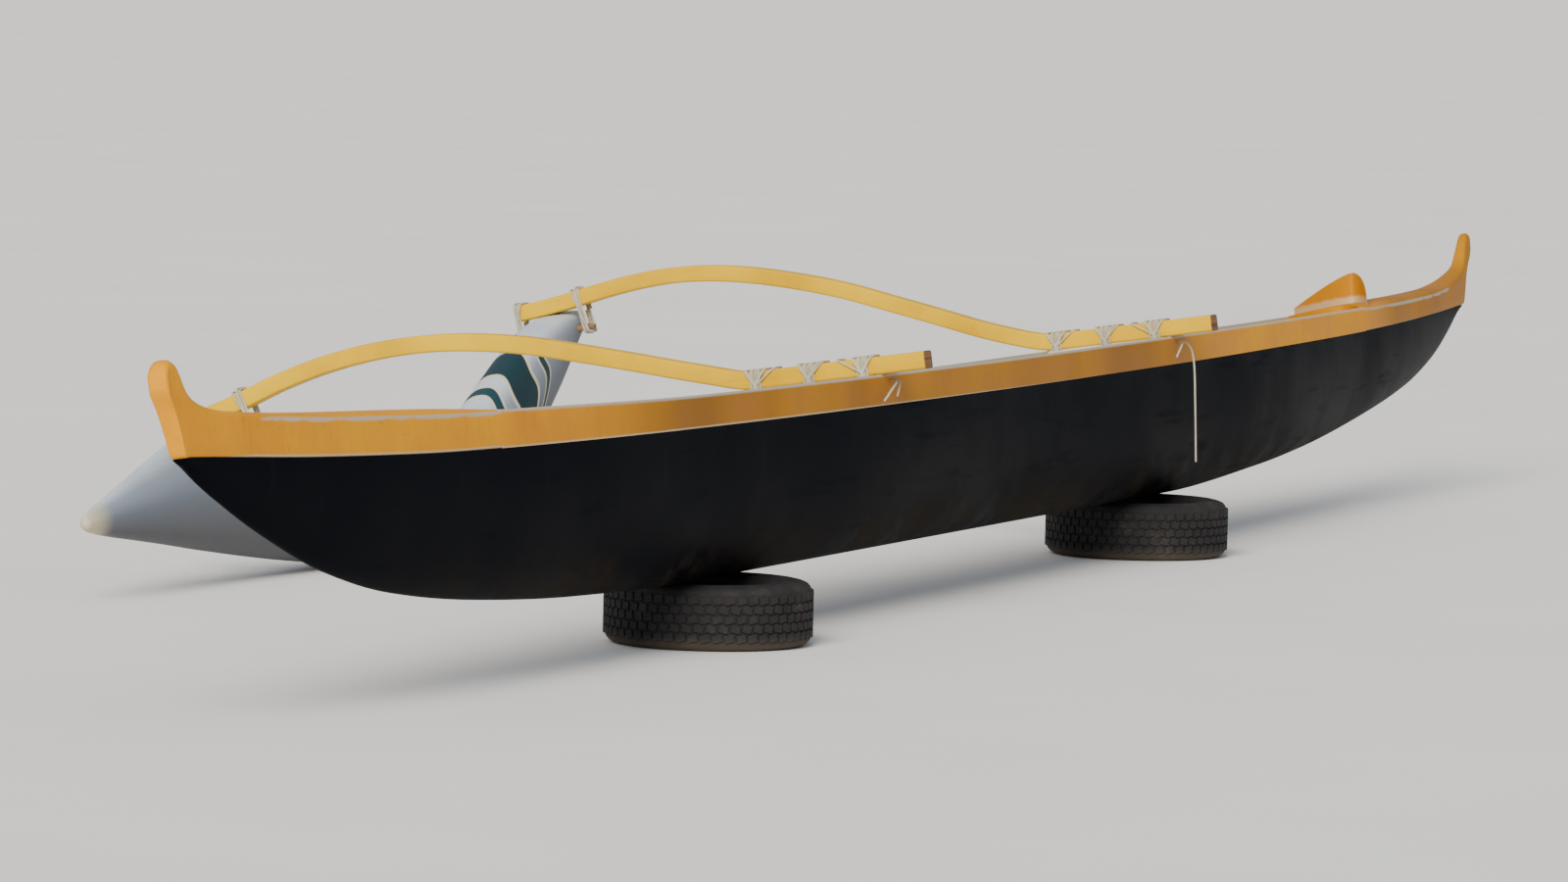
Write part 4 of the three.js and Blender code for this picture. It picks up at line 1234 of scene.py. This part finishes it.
def wound(turns, half_width, half_height, spread, skew=0.0, fan=0.0, settle=0.0):
    """One winding about the origin, its axis along the beam."""
    return grow("winding", winding, {
        "Turns": float(turns), "Steps": turns * winding_way["steps in a turn"] + 1,
        "Half width": half_width, "Half height": half_height, "Spread": spread, "Skew": skew,
        "Squareness": winding_way["squareness"], "Fan": fan, "Waver": winding_way["waver"],
        "Settle": settle, "Radius": cord_thick / 2, "Material": braided_cord})


def joined(name, pieces, matrix):
    """Several meshes as one piece, moved to its place."""
    shape = bmesh.new()
    for piece in pieces:
        shape.from_mesh(piece.data)
        bpy.data.objects.remove(piece)
    mesh = bpy.data.meshes.new(name)
    shape.to_mesh(mesh)
    shape.free()
    mesh.transform(matrix)
    mesh.shade_smooth()
    whole = bpy.data.objects.new(name, mesh)
    bpy.context.scene.collection.objects.link(whole)
    return whole


# %% Lash the beams to the spreaders
packed = 0.72  # turns for each cord's thickness along the beam: they lie a little apart
over = {"beside": 1.45, "above": 1.4, "apart": 0.002, "settle": 0.85}  # the crossing turns


def lashed(name, end, y, low, wide, crossings, solid):
    """Turns side by side from a low point up over the beam, with crossing turns on top.

    Each crossing is (number of turns, lean, fan).
    """
    centre, slope = beam_height(end, y)
    high = centre + iako["deep"] / 2 + gap
    half_width, half_height = iako["wide"] / 2 + gap, (high - low) / 2
    layers = [wound(round(packed * wide / cord_thick), half_width + cord_thick / 2,
                    half_height + cord_thick / 2, wide - cord_thick)]
    layers += [wound(count, half_width + over["beside"] * cord_thick,
                     half_height + over["above"] * cord_thick,
                     (cord_thick + over["apart"]) * (count - 1) + over["apart"],
                     skew, fan, over["settle"] * cord_thick)
               for count, skew, fan in crossings]
    at = Matrix.Translation((iako[end], y, (high + low) / 2))
    lean_with_beam = Matrix.Rotation(math.atan(slope), 4, "X")
    whole = joined(name, layers, CANOE @ at @ lean_with_beam)
    finished(whole, braided_cord, solid)


diagonal = {"starboard": 0.075, "middle": -0.060, "port": -0.080}  # the last turn's fan
for end in ("stern", "bow"):
    bar_foot = seating_height(iako[end]) - iako["deep"] / 2 - gap - saddle["bar_deep"] - gap
    for y, name in zip(lashing["stations"], ("starboard", "middle", "port")):
        lashed(f"hull_winding_{end}_{name}", end, y, bar_foot, lashing["wide"],
               ((2, 0.014, 0.020), (2, -0.014, -0.020), (1, 0.010, diagonal[name])),
               f"hull_lashing_{end}_{name}")

# %% [markdown]
# ## The float
# The ama is a slim closed float with a flat-bottomed round section, upswept at both ends.
# Towards its tail the back narrows to a ridge. Its belly, its back, its breadth and how full
# the section is are four lines, and one superellipse rule makes every ring from them.

# %% The ama's lines
ama_y = 2.110
ama_ridge = {"from": -1.0, "over": 0.7, "pinch": 0.45}  # how its back narrows aft of a station
ama_stations = [  # x, height of the belly, of the back, half width, roundness of the section
    [-2.410, 0.372, 0.408, 0.016, 2.0], [-2.380, 0.360, 0.424, 0.026, 2.0],
    [-2.250, 0.338, 0.464, 0.038, 2.0], [-2.050, 0.312, 0.522, 0.052, 2.0],
    [-1.850, 0.286, 0.580, 0.064, 2.0], [-1.650, 0.258, 0.630, 0.074, 2.0],
    [-1.480, 0.236, 0.662, 0.081, 2.1], [-1.330, 0.217, 0.668, 0.086, 2.1],
    [-1.180, 0.199, 0.655, 0.090, 2.1], [-1.030, 0.182, 0.580, 0.094, 2.1],
    [-0.880, 0.167, 0.500, 0.098, 2.2], [-0.700, 0.150, 0.434, 0.101, 2.3],
    [-0.450, 0.133, 0.384, 0.104, 2.4], [-0.150, 0.127, 0.369, 0.105, 2.5],
    [0.150, 0.145, 0.396, 0.105, 2.5], [0.450, 0.196, 0.486, 0.104, 2.5],
    [0.750, 0.282, 0.606, 0.103, 2.5], [1.000, 0.380, 0.716, 0.101, 2.6],
    [1.200, 0.482, 0.800, 0.099, 2.7], [1.400, 0.610, 0.868, 0.096, 2.9],
    [1.520, 0.700, 0.894, 0.093, 3.0], [1.600, 0.768, 0.903, 0.091, 3.1],
    [1.680, 0.832, 0.912, 0.088, 3.2], [1.712, 0.868, 0.908, 0.080, 3.2],
]
ama_lines = [smooth_line([[row[0], row[k]] for row in ama_stations]) for k in (1, 2, 3, 4)]
print(f"the ama is {ama_stations[-1][0] - ama_stations[0][0]:.3f} m long")


def ama_ring(x, shrink=1.0, count=56):
    """One section of the float, shrunk about its middle to close the ends."""
    belly, back, wide, fullness = (line(x) for line in ama_lines)
    aft = (ama_ridge["from"] - x) / ama_ridge["over"]
    ring = []
    for i in range(count):
        turn = 2 * math.pi * (i + 0.5) / count
        c, s = math.cos(turn), math.sin(turn)
        across = math.copysign(abs(c) ** (2 / fullness), c)
        rise = math.copysign(abs(s) ** (2 / fullness), s)
        narrow = 1 - min(ama_ridge["pinch"], max(0, aft)) * max(0, s) ** 1.5
        # A hair less than half the height, so that a smoothed face doesn't bulge past the line
        ring.append((x, ama_y + shrink * wide * across * narrow,
                     (belly + back) / 2 + shrink * ((back - belly) / 2 - 0.0002) * rise))
    return ring


# %% [markdown]
# The float is white, gone a bluish grey, and cream at the tail. Its colour darkens towards
# the belly and pales along the ridge: painted shade underneath and painted highlight on the
# back. Plain waved bands of deep teal with cream rims are painted round it towards the bow
# end. Height over the belly, stored on each vertex, places that painted shade and highlight
# and bends the bands.

# %% The float's finish
def ama_finish():
    material, tree, shader = new_finish("ama_white", Specular_IOR_Level=0.18)
    places = canoe_places(tree)
    parts = node(tree, "ShaderNodeSeparateXYZ", {0: places}).outputs
    up_side = node(tree, "ShaderNodeAttribute", attribute_name="up_side").outputs["Fac"]
    clouds = grain(tree, places, 2.4, 6)
    streaks = grain(tree, places, 20, 4, 0.6, (0.1, 1, 1))
    # Painted light: dark towards the belly as painted shade, pale along the ridge as painted
    # highlight
    colour = ramp(tree, up_side,
                  (0.1, "55565a"), (0.45, "747c88"), (0.8, "929eae"), (0.95, "c3ccd8"))
    colour = mix(tree, between(tree, clouds, 0.45, 0.75, 0, 0.3), colour, "6f7885")
    colour = mix(tree, between(tree, streaks, 0.55, 0.8, 0, 0.3), colour, "7f7c74")
    # Waved bands: a slanting distance along the float, bent by a slow wave round it
    wave = calc(tree, "MULTIPLY", calc(tree, "SINE", calc(tree, "MULTIPLY", up_side, 9.0)), 0.035)
    slant = calc(tree, "ADD", calc(tree, "MULTIPLY_ADD", up_side, -0.16, parts[0]), wave)
    for middle, half_wide, code in ((0.93, 0.105, "d3c9ae"), (0.93, 0.085, "16343c"),
                                    (0.72, 0.040, "d3c9ae"), (0.72, 0.026, "1d3f4a"),
                                    (1.13, 0.030, "d3c9ae"), (1.13, 0.018, "1d3f4a")):
        away = calc(tree, "ABSOLUTE", calc(tree, "SUBTRACT", slant, middle))
        painted = between(tree, away, half_wide - 0.003, half_wide + 0.003, 1, 0)
        colour = mix(tree, painted, colour, code)
    tail = between(tree, parts[0], -2.37, -2.25, 1, 0)
    colour = mix(tree, calc(tree, "MULTIPLY", tail, 0.8), colour, "cfc4a4")
    tree.links.new(colour, shader.inputs["Base Color"])
    tree.links.new(between(tree, clouds, 0.3, 0.7, 0.40, 0.58), shader.inputs["Roughness"])
    bumps(tree, shader, grain(tree, places, 30, 3), 0.1, 0.001)
    return material


ama_white = ama_finish()
say_nodes(ama_white)

# %% The float
tail, nose = ama_stations[0][0], ama_stations[-1][0]
tail_soft, nose_soft = 0.012, 0.020  # length over which each end is rounded off
rings = []
for i in range(6):
    t = math.sin(math.pi / 2 * i / 6)
    rings.append(ama_ring(tail + tail_soft * (1 - math.sqrt(1 - t * t)), 0.25 + 0.75 * t))
rings += [ama_ring(x) for x in evenly(tail + tail_soft, nose - nose_soft, 170)]
for i in range(1, 7):
    t = i / 6
    rings.append(ama_ring(nose - nose_soft * (1 - math.sin(math.pi / 2 * t)),
                          1 - 0.55 * (1 - math.cos(math.pi / 2 * t))))
ama_float = fair_skin("ama_float", rings, 60)
belly_line, back_line = ama_lines[:2]
note_on(ama_float, "up_side", lambda p: min(max(
    (p.z - belly_line(p.x)) / (back_line(p.x) - belly_line(p.x)), 0), 1))
finished(ama_float, ama_white, "ama")

# %% [markdown]
# ## Pegs and the float's lashings
# A wooden peg goes through the float's back under each beam, and cord is wound round beam
# and peg on both sides of the float. The peg is turned wood with rounded ends.

# %% The pegs
peg = {"radius": 0.013, "below": 0.062, "half": 0.158}
ama_lashing = {"offset": 0.124, "wide": 0.030}


def peg_finish():
    material, tree, shader = new_finish("peg_wood", Specular_IOR_Level=0.3)
    places = canoe_places(tree)
    fibres = grain(tree, places, 140, 5, 0.6, (1, 0.05, 1))
    colour = ramp(tree, fibres, (0.3, "5d4630"), (0.55, "8a6c4b"), (0.75, "a98c66"))
    tree.links.new(colour, shader.inputs["Base Color"])
    tree.links.new(between(tree, fibres, 0.3, 0.7, 0.6, 0.8), shader.inputs["Roughness"])
    bumps(tree, shader, fibres, 0.4, 0.0006)
    return material


peg_wood = peg_finish()
say_nodes(peg_wood)


def peg_height(end):
    """Height of a peg's middle, under its beam."""
    return beam_height(end, ama_y)[0] - iako["deep"] / 2 - peg["below"]


for end in ("stern", "bow"):
    rings = []
    for i in range(13):
        t = -1 + i / 6
        # Rounded at both ends, and turned by eye, so its thickness varies a little
        radius = peg["radius"] * (1 - 0.35 * abs(t) ** 14) * (1 + 0.02 * math.cos(9 * t))
        y = ama_y + t * peg["half"]
        rings.append([(iako[end] + radius * math.cos(a), y, peg_height(end) + radius * math.sin(a))
                      for a in evenly(0, 2 * math.pi * 23 / 24, 24)])
    finished(fair_skin(f"peg_{end}", rings, 50), peg_wood, f"ama_peg_{end}")
    for side, name in ((1, "outboard"), (-1, "inboard")):
        lashed(f"ama_winding_{end}_{name}", end, ama_y + side * ama_lashing["offset"],
               peg_height(end) - peg["radius"] - gap, ama_lashing["wide"],
               ((1, side * 0.006, -side * 0.004), (1, -side * 0.008, -side * 0.014)),
               f"ama_lashing_{end}_{name}")

# %% [markdown]
# ## The old tyres
# Two worn car tyres lie flat under the hull. A tyre is a turned shape, so its carcass is a
# profile spun about the upright axis. The tread blocks are what repeats: Geometry Nodes set
# rows of small blocks round the carcass, every other row half a block further.

# %% The tyre's finish
def rubber_finish():
    material, tree, shader = new_finish("tyre_rubber", Specular_IOR_Level=0.25)
    places = node(tree, "ShaderNodeTexCoord").outputs["Object"]
    height = node(tree, "ShaderNodeSeparateXYZ", {0: places}).outputs[2]
    dust = grain(tree, places, 7, 6, 0.7)
    colour = ramp(tree, dust, (0.3, "1a191a"), (0.55, "2a2829"), (0.75, "47423c"))
    splash = between(tree, height, 0.0, 0.05, 0.45, 0)
    colour = mix(tree, splash, colour, "6b5f4e")
    tree.links.new(colour, shader.inputs["Base Color"])
    tree.links.new(between(tree, dust, 0.3, 0.7, 0.7, 0.92), shader.inputs["Roughness"])
    bumps(tree, shader, grain(tree, places, 120, 3), 0.3, 0.0008)
    return material


tyre_rubber = rubber_finish()
say_nodes(tyre_rubber)

# %% The recipe for tread blocks
def tread_recipe():
    tree, given = new_recipe("tread_blocks", {
        "Blocks": "Int", "Rows": "Int", "Radius": "Float", "Row pitch": "Float",
        "Block size": "Vector", "Twist": "Float"})
    total = calc(tree, "MULTIPLY", given["Blocks"], given["Rows"])
    points = node(tree, "GeometryNodeMeshLine", {"Count": total})
    index = node(tree, "GeometryNodeInputIndex").outputs[0]
    row = calc(tree, "FLOOR", calc(tree, "DIVIDE", index, given["Blocks"]))
    along = calc(tree, "MODULO", index, given["Blocks"])
    shifted = calc(tree, "ADD", along, calc(tree, "MULTIPLY", calc(tree, "MODULO", row, 2.0), 0.5))
    angle = calc(tree, "MULTIPLY", calc(tree, "DIVIDE", shifted, given["Blocks"]), 2 * math.pi)
    middle = calc(tree, "MULTIPLY", calc(tree, "SUBTRACT", given["Rows"], 1.0), 0.5)
    level = calc(tree, "MULTIPLY", calc(tree, "SUBTRACT", row, middle), given["Row pitch"])
    place = node(tree, "ShaderNodeCombineXYZ", {
        0: calc(tree, "MULTIPLY", calc(tree, "COSINE", angle), given["Radius"]),
        1: calc(tree, "MULTIPLY", calc(tree, "SINE", angle), given["Radius"]), 2: level})
    moved = node(tree, "GeometryNodeSetPosition",
                 {"Geometry": points.outputs[0], "Position": place.outputs[0]})
    one_lug = node(tree, "GeometryNodeMeshCube", {"Size": given["Block size"]})
    slant = calc(tree, "MULTIPLY", given["Twist"], calc(tree, "SUBTRACT", 1.0, calc(
        tree, "MULTIPLY", calc(tree, "MODULO", row, 2.0), 2.0)))
    lean_first = node(tree, "ShaderNodeCombineXYZ", {0: slant, 2: angle})
    placed = node(tree, "GeometryNodeInstanceOnPoints", {
        "Points": moved.outputs[0], "Instance": one_lug.outputs[0],
        "Rotation": lean_first.outputs[0]})
    end_recipe(tree, given, placed.outputs[0])
    return tree


tread_blocks = tread_recipe()
say_nodes(tread_blocks)

# %% A tyre's profile, and how it is spun
tyre = {"radius": 0.325, "bead": 0.190, "proud": 0.006, "wall": 0.018}


def tyre_profile(height):
    """Half a tyre's section, as points of radius and height, with ribs on its side walls."""
    R, B, H = tyre["radius"] - tyre["proud"], tyre["bead"], height
    bottom_half = [(B, 0.030), (B + 0.004, 0.018), (B + 0.014, 0.009), (B + 0.026, 0.004),
                   (B + 0.030, 0.0062), (B + 0.034, 0.0035), (B + 0.055, 0.0004),
                   (B + 0.060, 0.0026), (B + 0.064, 0.0004), (R - 0.040, 0.0004),
                   (R - 0.028, 0.003), (R - 0.020, 0.006), (R - 0.012, 0.010), (R - 0.005, 0.018),
                   (R, 0.030)]
    outer = bottom_half + [(r, H - h) for r, h in reversed(bottom_half)]
    inner_half = [(B + 0.008, 0.036), (B + 0.040, 0.022), (R - 0.042, 0.020), (R - 0.026, 0.024),
                  (R - tyre["wall"], 0.040)]
    inner = [(r, H - h) for r, h in inner_half] + [(r, h) for r, h in reversed(inner_half)]
    return outer + inner


def spun(name, profile, centre, sides=96):
    """A closed section carried once round an upright axis."""
    rings = []
    for i in range(sides):
        a = 2 * math.pi * i / sides
        rings.append([(centre[0] + r * math.cos(a), centre[1] + r * math.sin(a), h)
                      for r, h in profile])
    count = len(profile)
    faces = [[i * count + j, i * count + (j + 1) % count,
              (i + 1) % sides * count + (j + 1) % count, (i + 1) % sides * count + j]
             for i in range(sides) for j in range(count)]
    mesh = bpy.data.meshes.new(name)
    mesh.from_pydata([p for ring in rings for p in ring], [], faces)
    shape = bmesh.new()
    shape.from_mesh(mesh)
    bmesh.ops.recalc_face_normals(shape, faces=shape.faces)
    shape.to_mesh(mesh)
    shape.free()
    piece = bpy.data.objects.new(name, mesh)
    bpy.context.scene.collection.objects.link(piece)
    return piece


# %% The two tyres
# Sunk and deep bed each lug in the carcass, so that its far corners stay inside the radius
lug = {"sunk": 0.0013, "deep": 0.0015, "along": 0.029, "up": 0.023, "pitch": 0.029}
for end in ("stern", "bow"):
    corner_low, corner_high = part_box(f"tyre_{end}")
    centre = (corner_low + corner_high) / 2
    carcass = spun("carcass", tyre_profile(corner_high.z), centre)
    lugs = grow("lugs", tread_blocks, {
        "Blocks": 54, "Rows": 5, "Radius": tyre["radius"] - tyre["proud"] / 2 - lug["sunk"],
        "Row pitch": lug["pitch"], "Twist": 0.22, "Material": tyre_rubber,
        "Block size": (tyre["proud"] + lug["deep"], lug["along"], lug["up"])})
    lugs.data.transform(Matrix.Translation((centre.x, centre.y, corner_high.z / 2)))
    whole = joined(f"old_tyre_{end}", [carcass, lugs], Matrix.Identity(4))
    whole.data.set_sharp_from_angle(angle=math.radians(crisp))
    finished(whole, tyre_rubber, f"tyre_{end}")

# %% [markdown]
# ## The studio
# A pale floor without an edge, a pale sky all round and one broad light high up behind the
# viewer's left shoulder, like a bright hazy day.

# %% Floor, sky and light
def floor_finish():
    material, tree, shader = new_finish("studio_floor", Roughness=0.9, Specular_IOR_Level=0.1)
    places = node(tree, "ShaderNodeTexCoord").outputs["Object"]
    colour = ramp(tree, grain(tree, places, 0.6, 3), (0.3, "f5f3f0"), (0.7, "faf8f6"))
    tree.links.new(colour, shader.inputs["Base Color"])
    return material


floor_mesh = bpy.data.meshes.new("floor")
shape = bmesh.new()
bmesh.ops.create_circle(shape, cap_ends=True, segments=64, radius=400)
shape.to_mesh(floor_mesh)
shape.free()
floor = bpy.data.objects.new("floor", floor_mesh)
floor.data.materials.append(floor_finish())
bpy.context.scene.collection.objects.link(floor)

world = bpy.data.worlds.new("hazy_day")
world.use_nodes = True
world.node_tree.nodes["Background"].inputs["Color"].default_value = paint("dfe6f0")
world.node_tree.nodes["Background"].inputs["Strength"].default_value = 0.56
bpy.context.scene.world = world

sun = bpy.data.objects.new("broad_light", bpy.data.lights.new("broad_light", "SUN"))
sun.data.energy = 4.4
sun.data.color = (1.0, 0.95, 0.86)
sun.data.angle = math.radians(30)
sun.rotation_mode = "QUATERNION"
light_goes = Vector((0.90, 0.12, -0.55))
sun.rotation_quaternion = light_goes.to_track_quat("-Z", "Y")
bpy.context.scene.collection.objects.link(sun)
